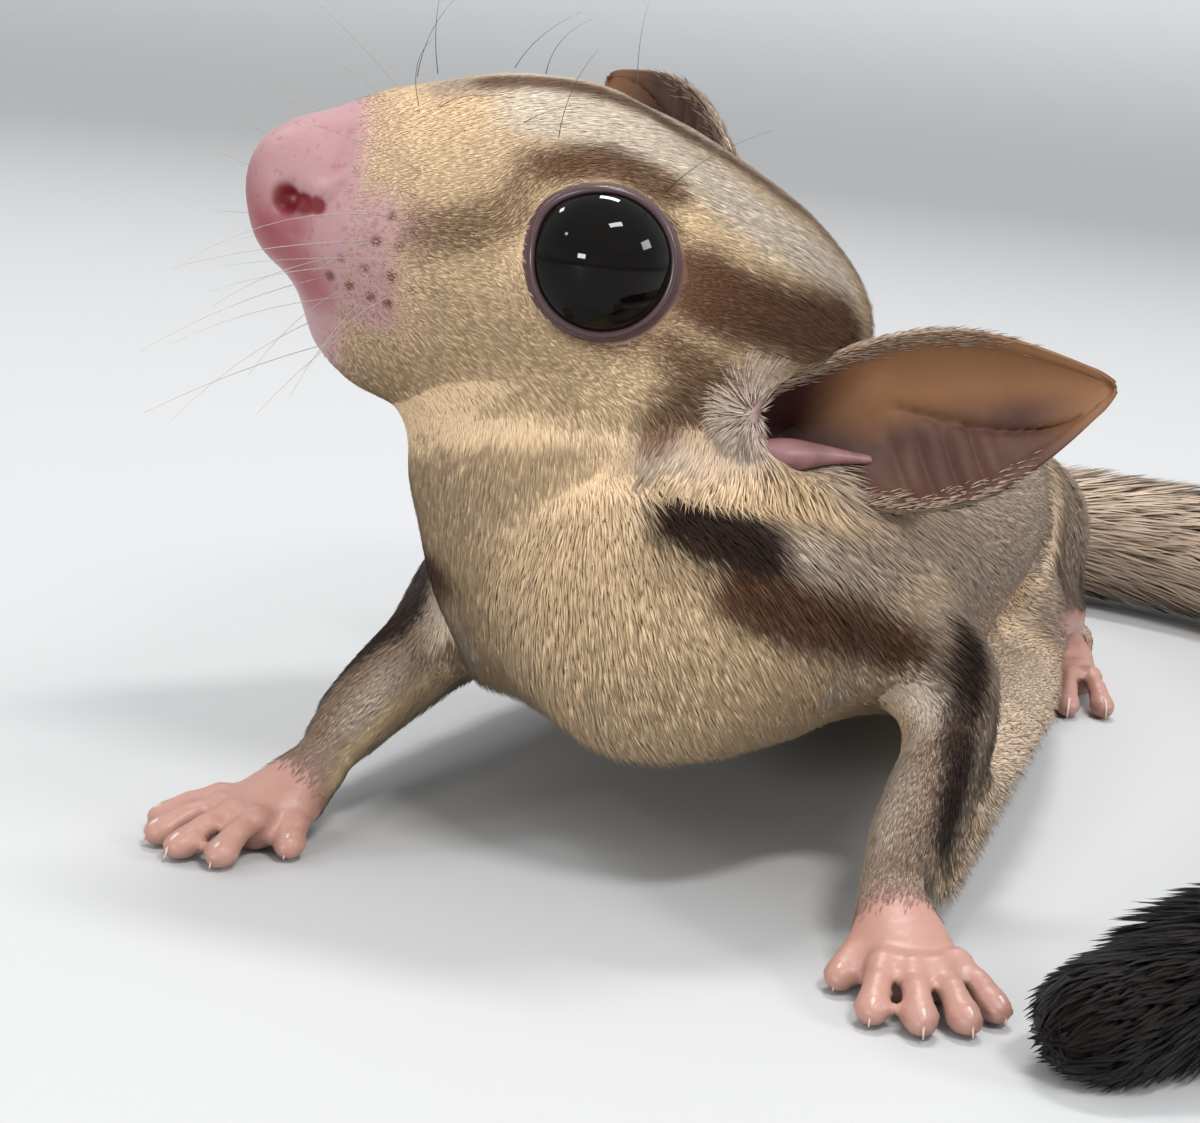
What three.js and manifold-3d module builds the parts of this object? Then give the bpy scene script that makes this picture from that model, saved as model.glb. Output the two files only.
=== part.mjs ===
// A sugar glider, life size, crouched on the floor with its head raised and turned to its right.
// Millimetres, +Z up. The body faces -Y and its left side is +X. Sizes run out to the tips of the coat.
import * as THREE from 'three';
import { mergeVertices } from 'three/addons/utils/BufferGeometryUtils.js';
import Module from 'manifold-3d';

const wasm = await Module();
wasm.setup();

const eyeRadius = 4.9;
const eyeSpread = 8.9; // from the head's middle to an eye's centre
const eyeRise = 0.75; // of that centre over the eye line
const earLength = 25.5;
const earThick = 0.9;
const seam = 0.3; // gap between neighbouring pieces
const digitRadius = 0.95;
const clawRadius = 0.45;
const tailBlackLength = 38; // the tail's last length, dark to the tip
const sides = { left: 1, right: -1 };

const colours = {
  cream: '#cdb892',
  face: '#c8b08a',
  back: '#8d7b67',
  limb: '#93826c',
  belly: '#c9ac84',
  skin: '#c58f86',
  nose: '#d08d8c',
  ear: '#8a5f45',
  eye: '#0b0809',
  membrane: '#9a8a74',
  tail: '#7b6c5c',
  tailTip: '#17120f',
};

// Where the head sits on the body, and how it is turned.
const eyeLine = new THREE.Vector3(-10.3, 6.0, 41.2); // the head's origin, between the eyes
const headTurn = { yaw: -57, pitch: -17, roll: 17 }; // degrees: to its right, nose up, top to its left

const vector = ([x, y, z]) => new THREE.Vector3(x, y, z);
const mirrored = (points, side) => points.map(([x, ...rest]) => [x * side, ...rest]);

// Turns a closed geometry into a solid, merging the vertices that its faces share.
function solid(geometry) {
  const bare = geometry.clone();
  bare.deleteAttribute('normal');
  bare.deleteAttribute('uv');
  const merged = mergeVertices(bare, 1e-4);
  const made = new wasm.Manifold(new wasm.Mesh({
    numProp: 3,
    vertProperties: merged.attributes.position.array,
    triVerts: new Uint32Array(merged.index.array),
  }));
  if (made.volume() < 0) throw new Error('a geometry is inside out');
  return made;
}

// Of the bodies that a cut leaves, the largest.
function largest(cut) {
  return cut.decompose().reduce((a, b) => (a.volume() > b.volume() ? a : b));
}

const joined = (solids) => solids.reduce((a, b) => a.add(b));
const without = (made, others) => others.reduce((left, other) => left.subtract(other), made);

// A closed loft through rings of { at, side, up, wide, high, low }, each an oval with its own top and bottom.
function loft(rings, count) {
  const positions = [];
  for (const { at, side, up, wide, high, low } of rings) {
    for (let j = 0; j < count; j += 1) {
      const angle = (2 * Math.PI * j) / count;
      const rise = Math.sin(angle) * (Math.sin(angle) > 0 ? high : low);
      const point = at.clone().addScaledVector(side, wide * Math.cos(angle)).addScaledVector(up, rise);
      positions.push(...point);
    }
  }
  const index = [];
  for (let i = 0; i + 1 < rings.length; i += 1) {
    for (let j = 0; j < count; j += 1) {
      const [a, b] = [i * count + j, i * count + ((j + 1) % count)];
      index.push(a, b + count, b, a, a + count, b + count);
    }
  }
  const [first, last] = [rings[0], rings[rings.length - 1]];
  const [start, end] = [positions.length / 3, positions.length / 3 + 1];
  positions.push(...first.at, ...last.at);
  for (let j = 0; j < count; j += 1) {
    const next = (j + 1) % count;
    const top = (rings.length - 1) * count;
    index.push(start, j, next, end, top + next, top + j);
  }
  const geometry = new THREE.BufferGeometry();
  geometry.setAttribute('position', new THREE.Float32BufferAttribute(positions, 3));
  geometry.setIndex(index);
  return geometry;
}

// Sweeps an oval along a smooth path. Each station is [x, y, z, wide, high, low]; low is high if left out.
// domes gives how far each end bulges past its last station, rounds the rings of a dome, span the share
// of the path that is used, and grow swells the whole piece.
function sweep(form, grow = 0) {
  const { stations, steps, count, domes = [0, 0], upright = [0, 0, 1], span = [0, 1] } = form;
  const path = new THREE.CatmullRomCurve3(stations.map(vector));
  const sizes = new THREE.CatmullRomCurve3(stations.map(([, , , wide, high = wide, low = high]) => (
    new THREE.Vector3(wide, high, low))));
  const ringAt = (t, scale, ahead) => {
    const tangent = path.getTangent(t);
    const side = tangent.clone().cross(vector(upright)).normalize();
    const up = side.clone().cross(tangent).normalize();
    const [wide, high, low] = sizes.getPoint(t).addScalar(grow).multiplyScalar(scale);
    const at = path.getPoint(t).addScaledVector(tangent, ahead);
    return { at, side, up, wide, high, low };
  };
  const rounds = count < 12 ? 1 : 2;
  const turn = (k) => (k / (rounds + 0.6)) * (Math.PI / 2);
  const rings = [];
  for (let k = rounds; k > 0 && domes[0] > 0; k -= 1) {
    rings.push(ringAt(span[0], Math.cos(turn(k)), -Math.sin(turn(k)) * (domes[0] + grow)));
  }
  for (let i = 0; i <= steps; i += 1) {
    rings.push(ringAt(THREE.MathUtils.lerp(span[0], span[1], i / steps), 1, 0));
  }
  for (let k = 1; k <= rounds && domes[1] > 0; k += 1) {
    rings.push(ringAt(span[1], Math.cos(turn(k)), Math.sin(turn(k)) * (domes[1] + grow)));
  }
  return loft(rings, count);
}

const swept = (form, grow) => solid(sweep(form, grow));

// Cuts one form into lengths at the given shares of its path, a seam apart.
function lengths(form, cuts) {
  const total = new THREE.CatmullRomCurve3(form.stations.map(vector)).getLength();
  const half = seam / 2 / total;
  const ends = [0, ...cuts, 1];
  return ends.slice(1).map((stop, k) => {
    const last = k === cuts.length;
    return {
      ...form,
      steps: Math.max(2, Math.round(form.steps * (stop - ends[k]))),
      span: [k === 0 ? 0 : ends[k] + half, last ? 1 : stop - half],
      domes: [k === 0 ? form.domes[0] : 0, last ? form.domes[1] : 0],
    };
  });
}

function ball(centre, radius) {
  const [around, along] = [14, 8];
  return solid(new THREE.SphereGeometry(radius, around, along).rotateX(Math.PI / 2).translate(...centre));
}

// The head, in its own frame: origin between the eyes, nose to -Y, left to +X.
const headFrame = new THREE.Matrix4().compose(
  eyeLine,
  new THREE.Quaternion().setFromEuler(new THREE.Euler(
    THREE.MathUtils.degToRad(headTurn.pitch),
    THREE.MathUtils.degToRad(headTurn.roll),
    THREE.MathUtils.degToRad(headTurn.yaw),
    'ZXY',
  )),
  new THREE.Vector3(1, 1, 1),
);
const onHead = (made) => made.transform(headFrame.elements);

// Stations from the back of the skull to the muzzle: [0, y, z, half width, top, bottom].
const muzzle = [0, -16.0, -6.0, 5.4, 6.7, 9.7];
const headForm = {
  stations: [
    [0, 18.0, -5.0, 9.0, 8.2, 8.0],
    [0, 14.3, -4.0, 11.4, 9.8, 10.0],
    [0, 8.8, -3.0, 13.0, 10.9, 12.0],
    [0, 4.0, -3.0, 13.2, 11.6, 12.5],
    [0, 0.0, -3.0, 12.2, 11.8, 12.8],
    [0, -4.8, -3.2, 10.4, 11.3, 13.2],
    [0, -8.8, -4.0, 8.6, 9.8, 13.0],
    [0, -12.8, -5.0, 6.8, 8.4, 12.3],
    muzzle,
  ],
  steps: 10,
  count: 20,
  domes: [2.5, 0],
};
const noseForm = {
  stations: [
    muzzle,
    [0, -17.8, -6.8, 4.1, 5.9, 6.2],
    [0, -19.0, -7.6, 3.1, 4.4, 3.6],
  ],
  steps: 3,
  count: 14,
  domes: [0, 1.3],
};

// A cupped leaf for an ear: length along +Z, its hollow facing -Y, the base at the origin.
function leaf({ length, halfWidth, cup, curl, thick }) {
  const [along, across] = [8, 4];
  const middle = (s, t) => {
    const outline = (0.44 + 0.56 * Math.sin(Math.PI * (0.1 + 0.88 * s))) * Math.sqrt(Math.max(0.03, 1 - s ** 3));
    const hollow = cup * (1 - 0.6 * s) * (1 - t * t);
    return new THREE.Vector3(halfWidth * outline * t, hollow - curl * s * s, length * s);
  };
  const positions = [];
  for (const face of [-1, 1]) {
    for (let i = 0; i <= along; i += 1) {
      for (let j = 0; j <= across; j += 1) {
        const [s, t] = [i / along, (2 * j) / across - 1];
        const step = 1e-3;
        const inside = Math.min(s, 0.96);
        const alongS = middle(inside + step, t).sub(middle(inside - step, t));
        const alongT = middle(inside, t + step).sub(middle(inside, t - step));
        const out = alongT.cross(alongS).normalize();
        const rim = i === along || j === 0 || j === across ? 0.6 : 1;
        positions.push(...middle(s, t).addScaledVector(out, (face * rim * thick) / 2));
      }
    }
  }
  const row = across + 1;
  const sheet = row * (along + 1);
  const index = [];
  const quad = (a, b, c, d) => index.push(a, b, c, a, c, d);
  for (let i = 0; i < along; i += 1) {
    for (let j = 0; j < across; j += 1) {
      const [a, b] = [i * row + j, (i + 1) * row + j];
      quad(a, b, b + 1, a + 1);
      quad(sheet + a, sheet + a + 1, sheet + b + 1, sheet + b);
    }
    const [low, high] = [i * row, i * row + across];
    quad(low, sheet + low, sheet + low + row, low + row);
    quad(high, high + row, sheet + high + row, sheet + high);
  }
  for (let j = 0; j < across; j += 1) {
    const top = along * row + j;
    quad(j, j + 1, sheet + j + 1, sheet + j);
    quad(top, sheet + top, sheet + top + 1, top + 1);
  }
  const geometry = new THREE.BufferGeometry();
  geometry.setAttribute('position', new THREE.Float32BufferAttribute(positions, 3));
  geometry.setIndex(index);
  return geometry;
}

// The ears on the head's frame: the left laid back along the neck, the right spread out to its side.
const ears = {
  left: { base: [11.4, 15.4, -4.2], along: [-0.27, 0.88, 0.385], hollow: [0.84, 0.04, 0.54] },
  right: { base: [-11.6, 12.4, -2.0], along: [-0.92, -0.36, 0.1], hollow: [0.37, -0.92, 0.06] },
};
function ear({ base, along, hollow }) {
  const length = vector(along).normalize();
  const across = vector(hollow).cross(length).negate().normalize();
  const back = length.clone().cross(across).normalize();
  const made = solid(leaf({ length: earLength, halfWidth: 6.6, cup: 3.4, curl: -2.2, thick: earThick }));
  return onHead(made.transform(new THREE.Matrix4().makeBasis(across, back, length)
    .setPosition(...base).elements));
}

const neckForm = {
  stations: [
    [-3, 11, 15, 14.5, 14.5, 13.0],
    [-7.2, 9.6, 25, 15.2, 14.0, 12.5],
    [-8.6, 9.4, 33.5, 13.8, 12.0, 11.5],
  ],
  steps: 3,
  count: 15,
  domes: [3, 3],
  upright: [0, -1, 0],
};

// The trunk from the chest to the rump; the spine curves a little to the right.
const trunkForm = {
  stations: [
    [-1.5, -1, 17.6, 12.0, 10.5, 10.0],
    [0, 9, 18.2, 15.5, 13.0, 11.8],
    [-1, 32, 17, 18.0, 13.5, 13.0],
    [-4, 58, 17, 19.0, 14.0, 13.2],
    [-8, 80, 15, 17.0, 12.0, 11.5],
    [-11, 94, 11.5, 9.5, 8.0, 7.8],
  ],
  steps: 12,
  count: 18,
  domes: [6, 3.5],
};
const trunkCut = 0.42;

// Limbs are given for the left side about the body's middle, and mirrored for the right.
const hipShift = -7; // how far the curved spine carries the hips to the right
const armShift = -1.2;
const handHeading = { left: 29, right: 24 }; // degrees outward from straight ahead
const upperArmForm = {
  stations: [
    [11.5, 9, 17.5, 5.8],
    [16.0, 12, 15, 5.2],
    [18.6, 13.4, 12.4, 3.9],
  ],
  steps: 3,
  count: 10,
  domes: [3, 3],
};
const forearmForm = {
  stations: [
    [18.7, 12.4, 11.0, 3.6],
    [19.1, 4.0, 8.6, 3.1],
    [19.4, -4.0, 5.6, 2.4],
  ],
  steps: 3,
  count: 10,
  domes: [3, 0.8],
};
const thighForm = {
  stations: [
    [8, 85, 14, 8.5],
    [14, 74, 13.4, 9.2],
    [17.5, 62, 11.4, 6.6],
  ],
  steps: 4,
  count: 12,
  domes: [4, 4.5],
};
const shankForm = {
  stations: [
    [19, 58.5, 10, 4.6],
    [20.2, 68, 8.2, 4.2],
    [20.4, 79, 5.4, 2.8],
  ],
  steps: 3,
  count: 10,
  domes: [3, 1.5],
};
// The gliding membrane, folded along the flank from the wrist to the ankle.
const membraneForm = {
  stations: [
    [21.4, -1, 3.2, 1.8, 0.9],
    [20.2, 8, 5.6, 3.4, 1.2],
    [18.6, 18, 7.6, 5.0, 1.3],
    [17.6, 30, 7.8, 5.4, 1.3],
    [16.2, 42, 7.2, 5.8, 1.3],
    [14.6, 56, 6.4, 5.2, 1.3],
    [14.4, 66, 5.6, 3.4, 1.2],
  ],
  steps: 8,
  count: 8,
  domes: [1, 1],
  upright: [0.4, 0, 1],
};

// A paw in its own frame: wrist at the origin, floor at -drop, toes to -Y, its inner side to -X.
// fan lists the digits from the inside out: root, reach along -Y and spread of the tip across.
const handForm = {
  drop: 5.2,
  palm: [
    [0, 0.6, -0.4, 2.0, 1.9, 2.2],
    [0.1, -2.8, -2.6, 3.0, 1.9, 2.4],
    [0.2, -6.0, -3.9, 3.2, 1.6, 1.8],
  ],
  fan: [
    { root: [-2.0, -2.6], tip: [-4.0, -5.4] },
    { root: [-1.9, -6.4], tip: [-3.3, -10.2] },
    { root: [-0.4, -6.8], tip: [-0.8, -11.4] },
    { root: [1.1, -6.6], tip: [1.9, -11.0] },
    { root: [2.5, -5.6], tip: [4.2, -9.2] },
  ],
};
const footForm = {
  drop: 4.4,
  palm: [
    [0, 2.2, -2.2, 2.4, 2.0, 2.4],
    [0, -4.5, -2.6, 2.9, 1.9, 2.2],
    [0.3, -11.5, -2.9, 3.6, 1.5, 1.8],
  ],
  fan: [
    { root: [-2.4, -6.6], tip: [-6.2, -9.2], bare: true },
    { root: [-1.9, -12.2], tip: [-2.9, -17.0] },
    { root: [-0.6, -12.6], tip: [-1.0, -17.6] },
    { root: [1.1, -12.8], tip: [1.7, -19.0] },
    { root: [2.9, -11.8], tip: [4.6, -17.4] },
  ],
};

function paw({ drop, palm, fan }, { at, heading, side }, grow = 0) {
  const turn = new THREE.Matrix4().makeRotationZ(THREE.MathUtils.degToRad(heading));
  const place = ([x, y, z, ...sizes]) => {
    const [px, py, pz] = vector([x, y, z]).applyMatrix4(turn).add(vector(at));
    return [px * side, py, pz, ...sizes];
  };
  const level = (height) => height - drop; // a height above the floor
  const parts = [swept({ stations: palm.map(place), steps: 2, count: 8, domes: [1.2, 1.5] }, grow)];
  for (const { root, tip, bare } of fan) {
    const [reachX, reachY] = [tip[0] - root[0], tip[1] - root[1]];
    const beyond = (share, height) => [root[0] + reachX * share, root[1] + reachY * share, level(height)];
    parts.push(swept({
      stations: [
        [...beyond(-0.15, 1.9), digitRadius],
        [...beyond(0.45, 2.1), digitRadius * 0.9],
        [...beyond(1, 0.8), digitRadius * 1.1],
      ].map(place),
      steps: 2,
      count: 5,
      domes: [0, digitRadius],
    }, grow));
    if (bare) continue;
    parts.push(swept({
      stations: [
        [...beyond(0.98, 1.5), clawRadius],
        [...beyond(1.25, 1.4), clawRadius * 0.9],
        [...beyond(1.45, 0.4), clawRadius * 0.55],
      ].map(place),
      steps: 1,
      count: 4,
    }, grow));
  }
  return joined(parts);
}

// The tail from the rump, round the left side on the floor, to its tip beside the left hand.
const tailForm = {
  stations: [
    [-11, 97, 9.6, 6.0],
    [-9, 105, 7.4, 6.6],
    [2, 112, 7.2, 7.4],
    [20, 112, 7.3, 7.6],
    [38, 101, 7.2, 7.5],
    [50, 82, 7.0, 7.3],
    [55, 58, 6.8, 7.1],
    [54, 34, 6.5, 6.8],
    [49, 14, 6.0, 6.3],
    [40.5, -4, 5.2, 5.5],
    [33, -14.6, 3.2, 3.4],
  ],
  steps: 24,
  count: 12,
  domes: [2, 3],
};
const tailLengths = 4; // before the black one

const floor = solid(new THREE.BoxGeometry(400, 400, 20).translate(0, 0, -10));
const pieces = {};
const looks = {};
// Adds a piece, cut back from its neighbours and trimmed flat where it stands on the floor.
function add(name, colour, made, neighbours = [], roughness = 0.9) {
  pieces[name] = largest(without(made, [...neighbours, floor]));
  looks[name] = { color: colour, roughness, metalness: 0 };
}

const eyeBall = (side, grow) => onHead(ball([eyeSpread * side, 0, eyeRise], eyeRadius + grow));
const sockets = Object.values(sides).map((side) => eyeBall(side, seam));
const headGrown = onHead(swept(headForm, seam));
const neckGrown = swept(neckForm, seam);
const trunkGrown = swept(trunkForm, seam);

add('head', colours.face, onHead(swept(headForm)), sockets);
add('nose', colours.nose, onHead(swept(noseForm)), [headGrown], 0.45);
add('neck', colours.cream, swept(neckForm), [headGrown]);
const [chest, abdomen] = lengths(trunkForm, [trunkCut]);
add('chest', colours.belly, swept(chest), [neckGrown, headGrown]);
add('abdomen', colours.back, swept(abdomen), [neckGrown]);

for (const [name, side] of Object.entries(sides)) {
  add(`eye_${name}`, colours.eye, eyeBall(side, 0), [], 0.05);
  add(`ear_${name}`, colours.ear, ear(ears[name]), [headGrown, neckGrown, trunkGrown], 0.6);

  const shifted = ({ upright = [0, 0, 1], stations, ...form }, shift) => ({
    ...form,
    upright: mirrored([upright], side)[0],
    stations: mirrored(stations, side).map(([x, ...rest]) => [x + shift, ...rest]),
  });
  const upperArm = shifted(upperArmForm, armShift);
  const forearm = shifted(forearmForm, armShift);
  const thigh = shifted(thighForm, hipShift);
  const shank = shifted(shankForm, hipShift);
  const membrane = shifted(membraneForm, armShift);
  const hand = { at: [19.5 + armShift * side, -5.0, handForm.drop], heading: handHeading[name], side };
  const foot = { at: [20.6 + hipShift * side, 81, footForm.drop], heading: 6, side };
  const upperArmGrown = swept(upperArm, seam);
  const forearmGrown = swept(forearm, seam);
  const thighGrown = swept(thigh, seam);
  const shankGrown = swept(shank, seam);
  add(`upper_arm_${name}`, colours.limb, swept(upperArm), [trunkGrown, neckGrown]);
  add(`forearm_${name}`, colours.limb, swept(forearm), [upperArmGrown, trunkGrown]);
  add(`hand_${name}`, colours.skin, paw(handForm, hand), [forearmGrown], 0.6);
  add(`thigh_${name}`, colours.limb, swept(thigh), [trunkGrown]);
  add(`shank_${name}`, colours.limb, swept(shank), [thighGrown, trunkGrown]);
  add(`foot_${name}`, colours.skin, paw(footForm, foot), [shankGrown, thighGrown], 0.6);
  add(`patagium_${name}`, colours.membrane, swept(membrane), [
    trunkGrown, upperArmGrown, forearmGrown, thighGrown, shankGrown,
    paw(handForm, hand, seam), paw(footForm, foot, seam)]);
}

const tailPath = new THREE.CatmullRomCurve3(tailForm.stations.map(vector));
const blackFrom = 1 - tailBlackLength / tailPath.getLength();
const tailCuts = Array.from({ length: tailLengths }, (_, k) => ((k + 1) / tailLengths) * blackFrom);
lengths(tailForm, tailCuts).forEach((form, k) => {
  const black = k === tailLengths;
  add(`tail_${k + 1}`, black ? colours.tailTip : colours.tail, swept(form), k === 0 ? [trunkGrown] : []);
});

// The origin goes to the middle of the bottom of the whole animal's box.
const box = new THREE.Box3();
for (const made of Object.values(pieces)) {
  const { min, max } = made.boundingBox();
  box.union(new THREE.Box3(vector(min), vector(max)));
}
const origin = box.getCenter(new THREE.Vector3()).setZ(box.min.z);

const group = new THREE.Group();
for (const [name, made] of Object.entries(pieces)) {
  const { vertProperties, triVerts } = made.getMesh();
  const geometry = new THREE.BufferGeometry();
  geometry.setAttribute('position', new THREE.BufferAttribute(vertProperties, 3));
  geometry.setIndex(new THREE.BufferAttribute(triVerts, 1));
  geometry.translate(-origin.x, -origin.y, -origin.z);
  const mesh = new THREE.Mesh(geometry, new THREE.MeshStandardMaterial(looks[name]));
  mesh.name = name;
  group.add(mesh);
}

export default group;
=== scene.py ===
import math

import bpy
import numpy as np
from mathutils import Matrix, Vector
from mathutils.bvhtree import BVHTree


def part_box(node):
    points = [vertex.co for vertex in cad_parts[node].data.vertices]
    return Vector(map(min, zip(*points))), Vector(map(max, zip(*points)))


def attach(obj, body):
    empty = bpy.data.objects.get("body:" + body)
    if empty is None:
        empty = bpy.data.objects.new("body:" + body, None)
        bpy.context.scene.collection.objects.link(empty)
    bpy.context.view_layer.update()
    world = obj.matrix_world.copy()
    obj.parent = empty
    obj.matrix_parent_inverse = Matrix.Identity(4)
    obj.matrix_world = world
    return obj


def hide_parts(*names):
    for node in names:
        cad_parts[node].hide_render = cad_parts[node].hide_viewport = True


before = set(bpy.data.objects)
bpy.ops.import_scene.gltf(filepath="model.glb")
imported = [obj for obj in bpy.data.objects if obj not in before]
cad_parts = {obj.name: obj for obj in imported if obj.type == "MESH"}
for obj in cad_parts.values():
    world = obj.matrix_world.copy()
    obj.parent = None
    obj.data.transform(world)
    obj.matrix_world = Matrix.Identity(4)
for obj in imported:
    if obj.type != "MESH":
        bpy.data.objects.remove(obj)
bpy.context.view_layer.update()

# Lengths below are in millimetres and angles in degrees, unless a note says otherwise.
mm = 0.001
sides = {"left": 1, "right": -1}
upward = np.array([0.0, 0.0, 1.0])

bodyPlan = {
    "headAt": (-10.3, 6.0, 41.2),  # the head's origin between the eyes, from the middle of the shoulders
    "headTurn": {"yaw": -57, "pitch": -17, "roll": 17},
    "eyeSpread": 8.9,
    "eyeRise": 0.75,
    "eyeRadius": 4.9,
    "tailTipLength": 38,
}


def turnAbout(axis, degrees):
    return np.array(Matrix.Rotation(math.radians(degrees), 3, axis))


def unit(vectors):
    return vectors / np.maximum(np.linalg.norm(vectors, axis=-1, keepdims=True), 1e-9)


def boxMiddle(node):
    low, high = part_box(node)
    return (np.array(low) + np.array(high)) / 2 / mm


headTurn = bodyPlan["headTurn"]
headAxes = turnAbout("Z", headTurn["yaw"]) @ turnAbout("X", headTurn["pitch"])
headAxes = headAxes @ turnAbout("Y", headTurn["roll"])
eyeMiddle = (boxMiddle("eye_left") + boxMiddle("eye_right")) / 2
headOrigin = eyeMiddle - headAxes[:, 2] * bodyPlan["eyeRise"]
bodyShift = headOrigin - np.array(bodyPlan["headAt"])


def toHead(points):  # x to the animal's left, y to the back of the head, z to its crown
    return (np.asarray(points, float) - headOrigin) @ headAxes


def fromHead(points):
    return np.asarray(points, float) @ headAxes.T + headOrigin


def toBody(points):  # x to the left, y to the tail, z up from the floor
    return np.asarray(points, float) - bodyShift


def fromBody(points):
    return np.asarray(points, float) + bodyShift


def smooth(low, high, value):
    share = np.clip((value - low) / (high - low), 0, 1)
    return share * share * (3 - 2 * share)


def bell(points, centre, radius):
    return np.exp(-((points - np.array(centre)) ** 2).sum(1) / radius ** 2)


# Meshes as arrays

def triangles(mesh):
    mesh.calc_loop_triangles()
    points = np.empty(len(mesh.vertices) * 3)
    corners = np.empty(len(mesh.loop_triangles) * 3, np.int64)
    mesh.vertices.foreach_get("co", points)
    mesh.loop_triangles.foreach_get("vertices", corners)
    return points.reshape(-1, 3) / mm, corners.reshape(-1, 3)


def asMesh(name, points, faces):
    mesh = bpy.data.meshes.new(name)
    mesh.vertices.add(len(points))
    mesh.vertices.foreach_set("co", (np.asarray(points) * mm).astype(np.float32).ravel())
    mesh.loops.add(faces.size)
    mesh.loops.foreach_set("vertex_index", faces.astype(np.int32).ravel())
    mesh.polygons.add(len(faces))
    mesh.polygons.foreach_set("loop_start", np.arange(0, faces.size, faces.shape[1], dtype=np.int32))
    mesh.update(calc_edges=True)
    mesh.shade_smooth()
    return mesh


def asObject(name, mesh):
    made = bpy.data.objects.new(name, mesh)
    bpy.context.scene.collection.objects.link(made)
    return made


def discard(made):
    mesh = made.data
    bpy.data.objects.remove(made)
    bpy.data.meshes.remove(mesh)


def pointNormals(points, faces):
    a, b, c = (points[faces[:, k]] for k in range(3))
    flat = np.cross(b - a, c - a)
    total = np.zeros_like(points)
    for k in range(3):
        for axis in range(3):
            total[:, axis] += np.bincount(faces[:, k], flat[:, axis], len(points))
    return unit(total)


def merged(points, faces):
    keys, first, place = np.unique(np.round(points, 3), axis=0, return_index=True, return_inverse=True)
    faces = place.reshape(-1)[faces]
    whole = (faces[:, 0] != faces[:, 1]) & (faces[:, 1] != faces[:, 2]) & (faces[:, 2] != faces[:, 0])
    return points[first], faces[whole]


def gathered(parts):
    starts = np.cumsum([0] + [len(points) for points, _ in parts])
    faces = [part[1] + start for part, start in zip(parts, starts)]
    return np.concatenate([part[0] for part in parts]), np.concatenate(faces)


def reshaped(points, faces, kind, **settings):  # the mesh after one modifier
    source = asObject("source", asMesh("source", points, faces))
    modifier = source.modifiers.new("change", kind)
    for setting, value in settings.items():
        setattr(modifier, setting, value)
    result = triangles(source.evaluated_get(bpy.context.evaluated_depsgraph_get()).to_mesh())
    discard(source)
    return result


def edgesOf(faces):  # a closed mesh has each edge once in either direction
    pairs = np.concatenate([faces[:, [0, 1]], faces[:, [1, 2]], faces[:, [2, 0]]])
    return pairs[pairs[:, 0] < pairs[:, 1]]


def largestPiece(points, faces):
    source = asObject("source", asMesh("source", points, faces))
    bpy.ops.object.select_all(action="DESELECT")
    bpy.context.view_layer.objects.active = source
    source.select_set(True)
    bpy.ops.mesh.separate(type="LOOSE")
    pieces = list(bpy.context.selected_objects)
    result = triangles(max(pieces, key=lambda piece: len(piece.data.vertices)).data)
    for piece in pieces:
        discard(piece)
    return result


class Web:  # neighbours on a mesh, for evening out places and values
    def __init__(self, count, faces):
        self.first, self.second = edgesOf(faces).T
        self.count = count
        self.degree = np.bincount(self.first, minlength=count) + np.bincount(self.second, minlength=count)

    def average(self, values):
        if values.ndim == 1:
            total = np.bincount(self.first, values[self.second], self.count)
            total += np.bincount(self.second, values[self.first], self.count)
            return total / self.degree
        return np.stack([self.average(column) for column in values.T], axis=1)

    def even(self, values, rounds, share=0.5):
        for _ in range(rounds):
            values = values + (self.average(values) - values) * share
        return values


def relaxed(points, faces, rounds, hold=None):  # even out the surface and keep its volume
    web = Web(len(points), faces)
    free = 1 if hold is None else (1 - hold)[:, None]
    soft = points
    for _ in range(rounds):
        soft = soft + (web.average(soft) - soft) * 0.5 * free
    normals = pointNormals(soft, faces)
    lost = web.even(((points - soft) * normals).sum(1), rounds)
    return soft + normals * lost[:, None]


# Tubes and balls

def alongPath(stations, count):  # even steps through the stations, each a row of any length
    stations = np.asarray(stations, float)
    padded = np.concatenate([[2 * stations[0] - stations[1]], stations, [2 * stations[-1] - stations[-2]]])
    rows = []
    for t in np.linspace(0, len(stations) - 1, count):
        k = min(int(t), len(stations) - 2)
        u = t - k
        before, start, end, after = padded[k:k + 4]
        bend = 2 * before - 5 * start + 4 * end - after
        twist = 3 * start - before - 3 * end + after
        rows.append(0.5 * (2 * start + (end - before) * u + bend * u ** 2 + twist * u ** 3))
    return np.array(rows)


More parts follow.
